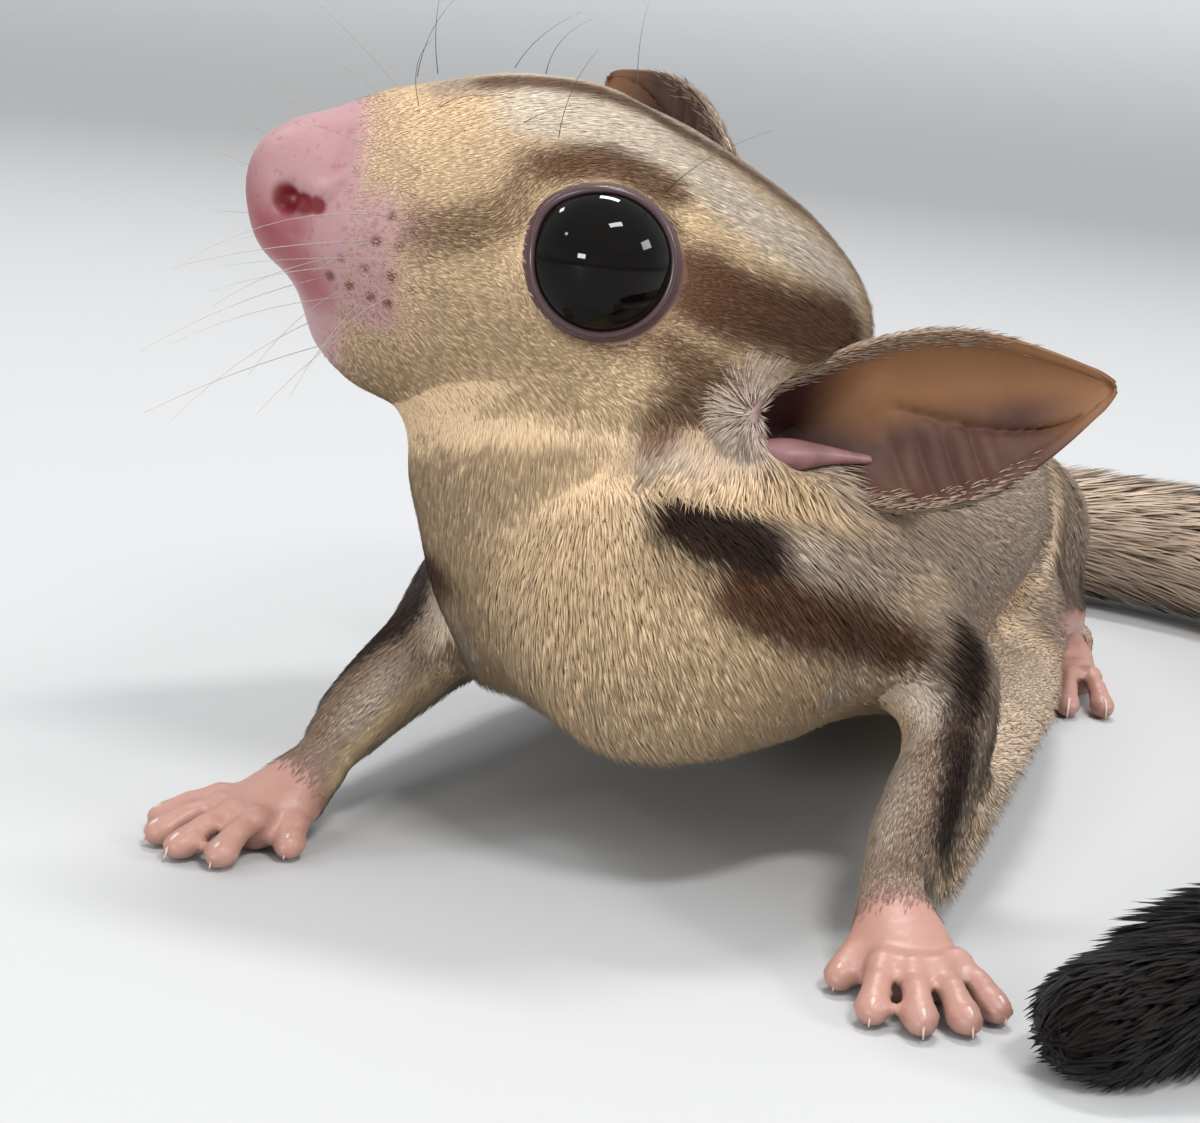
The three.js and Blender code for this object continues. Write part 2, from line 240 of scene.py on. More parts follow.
def tube(path, wide, high=None, count=14, upright=(0, 0, 1), rounds=3):
    path, wide = np.asarray(path, float), np.asarray(wide, float)
    high = wide if high is None else np.asarray(high, float)
    ahead = unit(np.gradient(path, axis=0))
    across = unit(np.cross(ahead, np.array(upright, float)))
    up = np.cross(across, ahead)
    rings = []
    for end, step in ((0, -1), (len(path) - 1, 1)):
        dome = []
        for k in range(1, rounds + 1):
            turn = k / (rounds + 0.7) * math.pi / 2
            reach = min(wide[end], high[end]) * math.sin(turn) * step
            dome.append((path[end] + ahead[end] * reach, across[end], up[end],
                         wide[end] * math.cos(turn), high[end] * math.cos(turn)))
        rings.append(dome)
    whole = rings[0][::-1] + list(zip(path, across, up, wide, high)) + rings[1]
    turns = np.linspace(0, 2 * math.pi, count, endpoint=False)
    points = np.concatenate([at + np.outer(np.cos(turns), side) * w + np.outer(np.sin(turns), rise) * h
                             for at, side, rise, w, h in whole])
    faces = []
    for i in range(len(whole) - 1):
        for j in range(count):
            a, b = i * count + j, i * count + (j + 1) % count
            faces += [(a, b, b + count), (a, b + count, a + count)]
    last = (len(whole) - 1) * count
    tips = [points[:count].mean(0), points[last:].mean(0)]
    points = np.concatenate([points, tips])
    for j in range(count):
        after = (j + 1) % count
        faces += [(after, j, last + count), (last + j, last + after, last + count + 1)]
    return points, np.array(faces)


def ringFaces(count, rings):  # a cap round the first point, then rings of so many points each
    faces = [(0, 1 + j, 1 + (j + 1) % count) for j in range(count)]
    for i in range(rings - 1):
        for j in range(count):
            a, b = 1 + i * count + j, 1 + i * count + (j + 1) % count
            faces += [(a, a + count, b + count), (a, b + count, b)]
    return faces


def sphere(centre, radius, rows, count, pole=upward):
    pole = unit(np.array(pole, float))
    side = unit(np.cross(pole, (0.3, 0.9, 0.31)))
    front = np.cross(pole, side)
    lows = np.linspace(0, math.pi, rows + 1)[1:-1]
    turns = np.linspace(0, 2 * math.pi, count, endpoint=False)
    ring = np.outer(np.cos(turns), side) + np.outer(np.sin(turns), front)
    points = np.concatenate([[pole], *[ring * math.sin(low) + pole * math.cos(low) for low in lows], [-pole]])
    faces = ringFaces(count, len(lows))
    last = len(points) - 1
    faces += [(last, last - count + (j + 1) % count, last - count + j) for j in range(count)]
    return points * radius + np.array(centre, float), np.array(faces)


# Paws: wrist at the origin, toes to -y, the inner side to -x

pawDetail = {
    "palmSteps": 9, "palmSides": 18,
    "digitSteps": 18, "digitSides": 12,
    "clawSteps": 9, "clawSides": 8,
}
handPlan = {
    "drop": 5.2,
    "heading": {"left": 29, "right": 24},
    "wrist": {"left": (18.3, -5.0), "right": (-20.7, -5.0)},
    "palm": [(0, 0.6, -0.4, 2.0, 2.0), (0.1, -2.8, -2.6, 3.0, 2.1), (0.2, -6.0, -3.9, 3.2, 1.7)],
    "digits": [((-2.0, -2.6), (-4.0, -5.4)), ((-1.9, -6.4), (-3.3, -10.2)), ((-0.4, -6.8), (-0.8, -11.4)),
               ((1.1, -6.6), (1.9, -11.0)), ((2.5, -5.6), (4.2, -9.2))],
    "clawless": [],
}
footPlan = {
    "drop": 4.4,
    "heading": {"left": 6, "right": 6},
    "wrist": {"left": (13.6, 81), "right": (-27.6, 81)},
    "palm": [(0, 2.2, -2.2, 2.4, 2.2), (0, -4.5, -2.6, 2.9, 2.0), (0.3, -11.5, -2.9, 3.6, 1.6)],
    "digits": [((-2.4, -6.6), (-6.2, -9.2)), ((-1.9, -12.2), (-2.9, -17.0)), ((-0.6, -12.6), (-1.0, -17.6)),
               ((1.1, -12.8), (1.7, -19.0)), ((2.9, -11.8), (4.6, -17.4))],
    "clawless": [0],
}
digitShape = {  # heights over the floor, and width and depth as shares of the radius
    "radius": 0.95,
    "shares": (-0.45, -0.15, 0.12, 0.34, 0.55, 0.76, 0.96, 1.1),  # of the way from root to tip
    "heights": (2.3, 2.15, 2.4, 2.05, 1.95, 1.5, 1.05, 0.95),
    "wide": (1.15, 1.05, 1.1, 0.84, 0.92, 0.95, 1.2, 1.0),
    "high": (1.1, 0.95, 1.0, 0.8, 0.88, 0.9, 1.05, 0.85),
}
clawShape = {
    "shares": (1.0, 1.09, 1.17, 1.24, 1.29),
    "heights": (1.4, 1.62, 1.38, 0.92, 0.35),
    "radii": (0.28, 0.27, 0.22, 0.14, 0.05),
    "flat": 0.75,
}


def pawPlace(plan, name, points):
    side = sides[name]
    turned = np.asarray(points, float) @ turnAbout("Z", plan["heading"][name]).T
    turned[:, 0] *= side
    x, y = plan["wrist"][name]
    return fromBody(turned + (x, y, 0))


def turnedOver(name, made):  # a mirrored mesh has its faces wound the other way
    points, faces = made
    return points, faces if sides[name] > 0 else faces[:, ::-1]


def toeRows(toe, shape, keys, steps):  # stations from a toe's root to its tip, with the shape's own columns
    root, tip = (np.array(end) for end in toe)
    places = [root + (tip - root) * share for share in shape["shares"]]
    return alongPath(np.column_stack([places, *[shape[key] for key in keys]]), steps)


def paw(plan, name):
    palm = alongPath(plan["palm"], pawDetail["palmSteps"])
    parts = [tube(palm[:, :3] + (0, 0, plan["drop"]), palm[:, 3], palm[:, 4], pawDetail["palmSides"])]
    for toe in plan["digits"]:
        rows = toeRows(toe, digitShape, ("heights", "wide", "high"), pawDetail["digitSteps"])
        wide, high = rows[:, 3:].T * digitShape["radius"]
        parts.append(tube(rows[:, :3], wide, high, pawDetail["digitSides"]))
    return [turnedOver(name, (pawPlace(plan, name, points), faces)) for points, faces in parts]


def claws(plan, name):
    parts = []
    for k, toe in enumerate(plan["digits"]):
        if k not in plan["clawless"]:
            rows = toeRows(toe, clawShape, ("heights", "radii"), pawDetail["clawSteps"])
            wide, high = rows[:, 3] * clawShape["flat"], rows[:, 3]
            points, faces = tube(rows[:, :3], wide, high, pawDetail["clawSides"], rounds=2)
            parts.append(turnedOver(name, (pawPlace(plan, name, points), faces)))
    return parts


# The flesh: every solid of it joined to one closed skin

skinPlan = {
    "seamClosed": 0.25,  # how far each solid swells to meet its neighbours
    "coarse": 0.6,  # grid of the body before it is evened out
    "fine": 0.32,  # grid of the finished skin
    "bodyRounds": 50,
    "fineRounds": 8,
    "triangles": 159000,
    "lidProud": 0.3,  # how far the lids stand off the eyeball
    "muzzle": (-11, -15), "muzzleHalf": 9, "muzzleHold": 0.75,  # where the first rounds spare the face
    "face": (9, 21, 0.85),  # how far back, how far out, and how flat the finely made face is
    "lidGrid": (24, 36), "ballGrid": (40, 64),  # rows and columns of the ball under the lids, and of the eye
}
armpitPlan = {  # on the body
    "left": [(12.4, 13.4, 10.8), (14.4, 17.0, 9.7), (14.6, 21.0, 9.3)],
    "right": [(-15.2, 14.4, 10.8), (-16.0, 18.6, 9.9), (-15.8, 23.6, 9.5)],
    "wide": 2.2, "high": 1.3, "steps": 8, "sides": 16,
}
pawPlans = {"hand": handPlan, "foot": footPlan}
paws = {f"{kind}_{name}": (plan, name) for kind, plan in pawPlans.items() for name in sides}
fleshNodes = [name for name in sorted(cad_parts) if not name.startswith(("eye_", "ear_"))]
earNodes = [f"ear_{name}" for name in sides]
eyePlace = np.array((bodyPlan["eyeSpread"], 0, bodyPlan["eyeRise"]))
eyeCentres = {name: fromHead([eyePlace * (side, 1, 1)])[0] for name, side in sides.items()}
eyeRadius = bodyPlan["eyeRadius"]


def swollen(node):
    points, faces = merged(*triangles(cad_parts[node].data))
    return points + pointNormals(points, faces) * skinPlan["seamClosed"], faces


def armpit(name):  # the fold of skin that closes the gap between the arm, the chest and the membrane
    plan = armpitPlan
    path = alongPath(plan[name], plan["steps"])
    wide, high = (np.full(len(path), plan[key]) for key in ("wide", "high"))
    return tube(fromBody(path), wide, high, plan["sides"])


def fleshShell():
    solids = [swollen(node) for node in fleshNodes if node not in paws] + [armpit(name) for name in sides]
    lid = eyeRadius + skinPlan["lidProud"]
    solids += [sphere(centre, lid, *skinPlan["lidGrid"]) for centre in eyeCentres.values()]
    points, faces = reshaped(*gathered(solids), "REMESH", mode="VOXEL", voxel_size=skinPlan["coarse"] * mm)
    points, faces = largestPiece(points, faces)
    atHead = toHead(points)
    muzzle = smooth(*skinPlan["muzzle"], atHead[:, 1]) * (np.abs(atHead[:, 0]) < skinPlan["muzzleHalf"])
    body = relaxed(points, faces, skinPlan["bodyRounds"], skinPlan["muzzleHold"] * muzzle), faces
    parts = [body] + [part for plan, name in paws.values() for part in paw(plan, name)]
    points, faces = reshaped(*gathered(parts), "REMESH", mode="VOXEL", voxel_size=skinPlan["fine"] * mm)
    return relaxed(points, faces, skinPlan["fineRounds"]), faces


skinPoints, skinFaces = fleshShell()
print("shell", len(skinPoints), len(skinFaces))


# Which solid each point of the skin stands for

nodeNames = []
treePoints, treeFaces, faceNode = [], [], []
for node in fleshNodes:
    nodePoints, nodeFaces = triangles(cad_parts[node].data)
    treeFaces.append(nodeFaces + sum(len(made) for made in treePoints))
    treePoints.append(nodePoints)
    faceNode += [len(nodeNames)] * len(nodeFaces)
    nodeNames.append(node)
cadTree = BVHTree.FromPolygons(np.concatenate(treePoints).tolist(), np.concatenate(treeFaces).tolist())
faceNode = np.array(faceNode)


def nearestNode(points):
    return faceNode[[cadTree.find_nearest(Vector(point))[2] for point in points]]


def partShare(kinds):  # 1 on points of these parts, both sides and all lengths counted
    known = [k for k, name in enumerate(nodeNames) if name.startswith(kinds)]
    return np.isin(skinNode, known).astype(float)


def pawShare(points):  # 1 near the bare paws
    near = np.zeros(len(points))
    for node in paws:
        low, high = (np.array(corner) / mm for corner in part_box(node))
        near = np.maximum(near, ((points > low - 0.8) & (points < high + 0.8)).all(1))
    return near


def thinned(points, faces, wanted):  # full detail stays on the face and paws
    atHead = toHead(points)
    back, reach, flat = skinPlan["face"]
    face = (atHead[:, 1] < back) & (np.linalg.norm(atHead * (1, 1, flat), axis=1) < reach)
    fine = face | (pawShare(points) > 0)
    source = asObject("source", asMesh("source", points, faces))
    source.vertex_groups.new(name="free").add(np.flatnonzero(~fine).tolist(), 1.0, "REPLACE")
    modifier = source.modifiers.new("thin", "DECIMATE")
    modifier.ratio = wanted / len(faces)
    modifier.vertex_group = "free"
    modifier.vertex_group_factor = 1
    result = triangles(source.evaluated_get(bpy.context.evaluated_depsgraph_get()).to_mesh())
    discard(source)
    return result


skinPoints, skinFaces = thinned(skinPoints, skinFaces, skinPlan["triangles"])
skinNode = nearestNode(skinPoints)
print("skin", len(skinPoints), len(skinFaces))


# The coat's depth is taken off the solids, and the bare face is shaped

coatDepth = {
    "parts": {"head": 0.5, "neck": 1.1, "chest": 1.3, "abdomen": 1.5, "upper_arm": 0.9, "forearm": 0.5,
              "thigh": 1.3, "shank": 0.7, "patagium": 0.35, "tail": 3.0},
    "tipShare": 0.3, "tipDepth": 0.2,  # of the way left to the tail's tip, and at the tip
    "muzzle": (-10, -15), "muzzleShare": 0.2,  # where the coat thins toward the nose, and to what share
    "lidNear": (4, 0.6), "lidOff": (30, 8),  # mm off the eyeball, degrees past the lid's edge, full to none
    "thickest": 0.5,  # share of a part's half thickness
    "normalRounds": 12, "reachRounds": 6, "depthRounds": 40,
}
jointPlan = {  # where the throat and the wrists are evened out
    "headRounds": 16, "headBelow": (-5, -9),
    "gain": 2.4, "most": 0.6, "rounds": 120,
    "wristReach": 5.5, "wristShare": 0.5, "wristRounds": 30,
}
tailPath = [(-11, 97, 9.6), (-9, 105, 7.4), (2, 112, 7.2), (20, 112, 7.3), (38, 101, 7.2), (50, 82, 7.0),
            (55, 58, 6.8), (54, 34, 6.5), (49, 14, 6.0), (40.5, -4, 5.2), (33, -14.6, 3.2)]  # on the body
lidPlan = {
    "facing": (1, -0.14, 0.38),  # the way the left eye looks, on the head
    "opening": 62,
    "corner": (-0.2, -0.85, 0.35),  # where the inner corner lies from the eye
    "cornerReach": 9,
    "cornerWidth": 26,
    "rim": 0.27, "rimCorner": 0.35,  # thickness, and how much more at the corner
    "rimOff": 0.6, "rimProud": 0.08, "rimFlat": 0.9,
    "rimSteps": 96, "rimSides": 10,
}


def alongTail(atBody):  # the tail's direction at each point and the distance left to its tip
    path = alongPath(tailPath, 120)
    steps = np.linalg.norm(np.diff(path, axis=0), axis=1)
    left = np.concatenate([np.cumsum(steps[::-1])[::-1], [0]])
    near = np.full(len(atBody), 1e9)
    which = np.zeros(len(atBody), int)
    for k, place in enumerate(path):
        gap = ((atBody - place) ** 2).sum(1)
        closer = gap < near
        near[closer] = gap[closer]
        which[closer] = k
    return unit(np.gradient(path, axis=0))[which], left[which]


def halfThickness(points, normals):
    tree = BVHTree.FromPolygons(points.tolist(), skinFaces.tolist())
    reach = np.full(len(points), 30.0)
    for k, (point, normal) in enumerate(zip(points, normals)):
        found = tree.ray_cast(Vector(point - normal * 0.05), Vector(-normal), 30)
        if found[3] is not None:
            reach[k] = found[3]
    return reach / 2


def eyeAxes():  # the way the left eye looks, and square to it the way to its inner corner
    axis = unit(np.array(lidPlan["facing"], float))
    corner = np.array(lidPlan["corner"], float)
    return axis, unit(corner - axis * (corner @ axis))


def eyeAngles(points, name):  # distance from the eye's middle, angles off its axis and from the inner corner
    out = toHead(points) * (sides[name], 1, 1) - eyePlace
    far = np.linalg.norm(out, axis=1)
    axis, corner = eyeAxes()
    off = np.degrees(np.arccos(np.clip(out @ axis / far, -1, 1)))
    flat = unit(out - np.outer(out @ axis, axis))
    return far, off, np.degrees(np.arccos(np.clip(flat @ corner, -1, 1)))


def lidEdge(turn):
    return lidPlan["opening"] + lidPlan["cornerReach"] * np.exp(-(turn / lidPlan["cornerWidth"]) ** 2)


def insetSkin(points):
    web = Web(len(points), skinFaces)
    depth = np.zeros(len(points))
    for kind, size in coatDepth["parts"].items():
        depth = np.maximum(depth, partShare(kind) * size)
    atHead = toHead(points)
    muzzle = smooth(*coatDepth["muzzle"], atHead[:, 1]) * partShare(("head", "nose"))
    depth *= 1 - (1 - coatDepth["muzzleShare"]) * muzzle
    for name in sides:
        far, off, turn = eyeAngles(points, name)
        near = smooth(*coatDepth["lidNear"], far - eyeRadius)
        depth *= 1 - near * smooth(*coatDepth["lidOff"], off - lidEdge(turn))
    normals = unit(web.even(pointNormals(points, skinFaces), coatDepth["normalRounds"]))
    reach = web.even(np.minimum(halfThickness(points, normals), 12), coatDepth["reachRounds"])
    depth = np.minimum(depth, coatDepth["thickest"] * reach)
    left = alongTail(toBody(points))[1]
    depth = np.minimum(depth, coatDepth["tipDepth"] + coatDepth["tipShare"] * left)
    depth += skinPlan["seamClosed"] * (1 - partShare(("hand", "foot")))
    depth = web.even(depth, coatDepth["depthRounds"])
    points = points - normals * depth[:, None]
    head = web.even(partShare(("head", "nose")), jointPlan["headRounds"])
    chest = web.even(partShare("chest"), jointPlan["headRounds"])
    free = head * (1 - head) * smooth(*jointPlan["headBelow"], toHead(points)[:, 2])
    free = free + chest * (1 - chest) * partShare(("neck", "chest"))
    free = np.minimum(jointPlan["gain"] * free, jointPlan["most"])[:, None]
    points = web.even(points, jointPlan["rounds"], free)
    wrists = [fromBody((*plan["wrist"][name], plan["drop"])) for plan, name in paws.values()]
    near = np.min([np.linalg.norm(points - wrist, axis=1) for wrist in wrists], axis=0)
    free = smooth(jointPlan["wristReach"], jointPlan["wristReach"] / 2, near) * jointPlan["wristShare"]
    return web.even(points, jointPlan["wristRounds"], free[:, None]), depth


skinPoints, skinDepth = insetSkin(skinPoints)
print("inset", round(float(skinDepth.max()), 2))


# The face: lids, nostrils, lips and whisker pads, given for the left side on the head

facePlan = {
    "hollows": [  # place, radius, depth
        ((3.5, -18.7, -5.0), 0.75, 1.4), ((4.2, -17.7, -4.6), 0.55, 0.7), ((4.6, -16.9, -4.2), 0.45, 0.3),
    ],
    "canal": ([(10.8, 16.2, -3.4), (9.6, 18.6, -2.6), (8.8, 21.5, -2.0)], 3.3, 3.6),  # path, width, depth
    "nearFace": (4.5, 2.5), "brow": (24, 4), "sunk": 0.8, "rimSoft": (1, -1.5),  # the lids over the eyeball
    "swells": [  # place, radius, rise
        ((4.1, -17.4, -2.9), 1.5, 0.35), ((6.4, -13.2, -6.4), 3.2, 0.4), ((2.0, -18.6, -7.6), 1.2, 0.2),
    ],
    "grooves": [  # path, width, depth
        ([(0, -20.6, -5.4), (0, -19.8, -8.6), (0, -18.4, -11.2)], 0.45, 0.4),
        ([(0, -18.4, -11.2), (3.2, -17.2, -11.6), (5.6, -14.6, -12.1), (7.6, -10.6, -12.8)], 0.4, 0.45),
        ([(4.9, -15.4, -1.4), (5.2, -16.2, -3.6), (4.6, -16.9, -5.4)], 0.5, 0.16),
    ],
}


def toPath(points, path):  # distance to a line through given places
    path = np.array(path, float)
    near = np.full(len(points), 1e9)
    for start, end in zip(path[:-1], path[1:]):
        way = end - start
        share = np.clip((points - start) @ way / (way @ way), 0, 1)
        near = np.minimum(near, np.linalg.norm(points - start - share[:, None] * way, axis=1))
    return near


def folded(points):  # the head's points with both sides laid on the left one
    atHead = toHead(points)
    return np.abs(atHead * (1, 0, 0)) + atHead * (0, 1, 1)


def shapeFace(points):
    web = Web(len(points), skinFaces)
    onFace = web.even(partShare(("head", "nose", "neck", "chest")), 4) > 0.5
    place = folded(points)
    push = np.zeros(len(points))
    for centre, radius, depth in facePlan["hollows"]:
        push -= depth * bell(place, centre, radius)
    for centre, radius, rise in facePlan["swells"]:
        push += rise * bell(place, centre, radius)
    for path, width, depth in facePlan["grooves"]:
        push -= depth * np.exp(-(toPath(place, path) / width) ** 2)
    path, width, depth = facePlan["canal"]
    push -= depth * smooth(width, width * 0.4, toPath(place, path))
    normals = unit(web.even(pointNormals(points, skinFaces), 3))
    points = points + normals * (push * onFace)[:, None]
    for name, centre in eyeCentres.items():
        far, off, turn = eyeAngles(points, name)
        edge = lidEdge(turn)
        near = smooth(*facePlan["nearFace"], far - eyeRadius)
        lid = smooth(*facePlan["brow"], off - edge) * near
        wanted = far + (eyeRadius + skinPlan["lidProud"] - far) * lid
        inside = smooth(*facePlan["rimSoft"], off - edge) * (near > 0)
        wanted = wanted + (eyeRadius - facePlan["sunk"] - wanted) * inside
        points = centre + (points - centre) * (wanted / far)[:, None]
    return points


skinPoints = shapeFace(skinPoints)


def lidRing(name):  # the bare rim of the lids, a closed roll round the opening
    side = sides[name]
    count, around = lidPlan["rimSteps"], lidPlan["rimSides"]
    axis, corner = eyeAxes()
    turns = np.linspace(0, 2 * math.pi, count, endpoint=False)
    away = np.degrees(np.minimum(turns, 2 * math.pi - turns))
    off = np.radians(lidEdge(away) + lidPlan["rimOff"])
    flat = np.outer(np.cos(turns), corner) + np.outer(np.sin(turns), np.cross(axis, corner))
    out = np.outer(np.cos(off), axis) + np.sin(off)[:, None] * flat
    inward = unit(np.cross(out, unit(np.gradient(out, axis=0))))
    corner = np.exp(-(away / lidPlan["cornerWidth"]) ** 2)
    thick = (lidPlan["rim"] * (1 + lidPlan["rimCorner"] * corner))[:, None]
    middle = out * (eyeRadius + lidPlan["rimProud"])
    rings = [middle + (out * math.cos(turn) * lidPlan["rimFlat"] + inward * math.sin(turn)) * thick
             for turn in np.linspace(0, 2 * math.pi, around, endpoint=False)]
    points = np.stack(rings, axis=1).reshape(-1, 3)
    points = (points + eyePlace) * (side, 1, 1)
    faces = []
    for i in range(count):
        for j in range(around):
            a, b = i * around + j, i * around + (j + 1) % around
            c, d = (a + around) % (count * around), (b + around) % (count * around)
            faces += [(a, c, d), (a, d, b)]
    faces = np.array(faces)
    return fromHead(points), faces if side < 0 else faces[:, ::-1]


# Ears: a thin cupped leaf each, pleated across its lower half, with a roll at the lower rim

earPlan = {
    "length": 25.5, "halfWidth": 6.6, "upperShare": 0.84,  # how wide the upper half is beside the lower
    "cup": 3.4, "curl": 2.2, "thick": 0.75, "rim": 0.4,
    "left": {"base": (11.4, 15.4, -4.2), "along": (-0.27, 0.88, 0.385), "hollow": (0.84, 0.04, 0.54)},
    "right": {"base": (-11.6, 12.4, -2.0), "along": (-0.92, -0.36, 0.1), "hollow": (0.37, -0.92, 0.06)},
    "pleat": 0.078,  # share of the length from one pleat to the next
    "pleatDepth": 0.26,
    "creaseFrom": (0.3, -0.22), "creaseTo": (0.86, 0.72),
    "creaseDepth": 0.45, "creaseWidth": 0.022,
    "canal": (2.0, (0.07, 0.09), (0.05, 0.5)),  # how deep, then where and how long, where and how wide
    "fold": (0.35, (0.3, 0.05), (-0.35, 0.3)),
    "rimRise": 0.25,
    "furAmount": 16, "furRim": 0.7, "tuft": (1.2, 0.1, math.radians(9)), "cover": (1, 0.45, 0),
    "roll": [(12.8, 13.0, -5.7), (11.8, 15.8, -5.5), (10.2, 19.2, -5.0), (9.0, 22.2, -4.7)],  # on the head
    "rollRadii": [0.5, 1.15, 0.65, 0.32],
    "rows": 104, "columns": 40,
}


def earAxes(name):
    plan = earPlan[name]
    along = unit(np.array(plan["along"], float))
    across = -unit(np.cross(np.array(plan["hollow"], float), along))
    return np.stack([across, np.cross(along, across), along])


def earCrease(s, t):  # distance from the crease, in shares of the ear's length, and how far along it
    (s0, t0), (s1, t1) = earPlan["creaseFrom"], earPlan["creaseTo"]
    ds, dt = s1 - s0, (t1 - t0) * 0.3
    share = np.clip(((s - s0) * ds + (t - t0) * 0.3 * dt) / (ds * ds + dt * dt), 0, 1)
    return np.hypot(s - s0 - share * ds, (t - t0) * 0.3 - share * dt), share


def earDent(kind, s, t):
    depth, (sAt, sWide), (tAt, tWide) = earPlan[kind]
    return depth * np.exp(-((s - sAt) / sWide) ** 2 - ((t - tAt) / tWide) ** 2)


def earMiddle(s, t):
    outline = (0.44 + 0.56 * np.sin(math.pi * (0.1 + 0.88 * s))) * np.sqrt(np.maximum(0.004, 1 - s ** 3))
    hollow = earPlan["cup"] * (1 - 0.6 * s) * (1 - t * t) * np.minimum(1, outline / 0.75)
    hollow = hollow + earPlan["curl"] * s * s
    gap, share = earCrease(s, t)
    crease = earPlan["creaseDepth"] * np.exp(-(gap / earPlan["creaseWidth"]) ** 2) * smooth(0, 0.2, share)
    window = smooth(0.25, 0.36, s) * smooth(0.68, 0.56, s) * smooth(0.02, 0.3, t) * smooth(1.0, 0.86, t)
    pleats = earPlan["pleatDepth"] * np.sin(2 * math.pi * s / earPlan["pleat"] + 0.8 * t) * window
    rim = earPlan["rimRise"] * smooth(0.8, 1.0, np.abs(t)) * smooth(0.1, 0.3, s)
    depth = hollow + crease + pleats + earDent("canal", s, t) - earDent("fold", s, t) - rim
    wide = earPlan["halfWidth"] * outline * np.where(t < 0, earPlan["upperShare"], 1)
    return np.stack([wide * t, depth, earPlan["length"] * s], axis=-1)


def earSheet(name):
    rows, columns = earPlan["rows"], earPlan["columns"]
    s, t = np.meshgrid(np.sin(np.linspace(-0.06, 1, rows + 1) * math.pi / 2),
                       np.sin(np.linspace(-1, 1, columns + 1) * math.pi / 2), indexing="ij")
    middle = earMiddle(s, t)
    out = unit(np.cross(np.gradient(middle, axis=0), np.gradient(middle, axis=1)))
    edge = smooth(1.0, 0.9, np.abs(t)) * smooth(1.0, 0.95, s)
    thick = (earPlan["rim"] + (earPlan["thick"] - earPlan["rim"]) * edge) / 2
    faces, sheet = [], (rows + 1) * (columns + 1)
    for i in range(rows):
        for j in range(columns):
            a, b = i * (columns + 1) + j, (i + 1) * (columns + 1) + j
            faces += [(a, b, b + 1), (a, b + 1, a + 1)]
            faces += [(sheet + a, sheet + b + 1, sheet + b), (sheet + a, sheet + a + 1, sheet + b + 1)]
    rim = [i * (columns + 1) for i in range(rows)] + [rows * (columns + 1) + j for j in range(columns)]
    rim += [i * (columns + 1) + columns for i in range(rows, 0, -1)] + list(range(columns, 0, -1))
    for a, b in zip(rim, rim[1:] + rim[:1]):
        faces += [(a, sheet + a, sheet + b), (a, sheet + b, b)]
    points = np.concatenate([middle - out * thick[..., None], middle + out * thick[..., None]]).reshape(-1, 3)
    place = points @ earAxes(name) + np.array(earPlan[name]["base"])
    share = np.stack([np.tile(s.ravel(), 2), np.tile(t.ravel(), 2)], axis=1)
    faces = np.array(faces)
    a, b, c = (points[faces[:, k]] for k in range(3))
    if (np.cross(b - a, c - a) * a).sum() < 0:
        faces = faces[:, ::-1]
    return (fromHead(place), faces), share


def earRoll(name):  # the pink roll along the lower rim, from the side of the head to the ear's opening
    places = (np.array(earPlan["roll"]) - earPlan["left"]["base"]) @ earAxes("left").T
    path = alongPath(places, 20)
    radius = alongPath(np.array(earPlan["rollRadii"])[:, None], 20)[:, 0]
    points, faces = tube(path, radius, radius * 0.85, 12)
    return fromHead(points @ earAxes(name) + np.array(earPlan[name]["base"])), faces


extras = {}
for name in sides:
    extras[f"lid_{name}"] = (lidRing(name), None)
    extras[f"ear_{name}"] = earSheet(name)
    extras[f"roll_{name}"] = (earRoll(name), None)
bodyCount = len(skinPoints)
bodyFaces = skinFaces
skinPoints, skinFaces = gathered([(skinPoints, skinFaces)] + [made for made, _ in extras.values()])
print("face and ears", len(skinPoints), len(skinFaces))


# Markings: each kind is a set of strokes, a path with its radius and strength, and gives a mask from 0 to 1

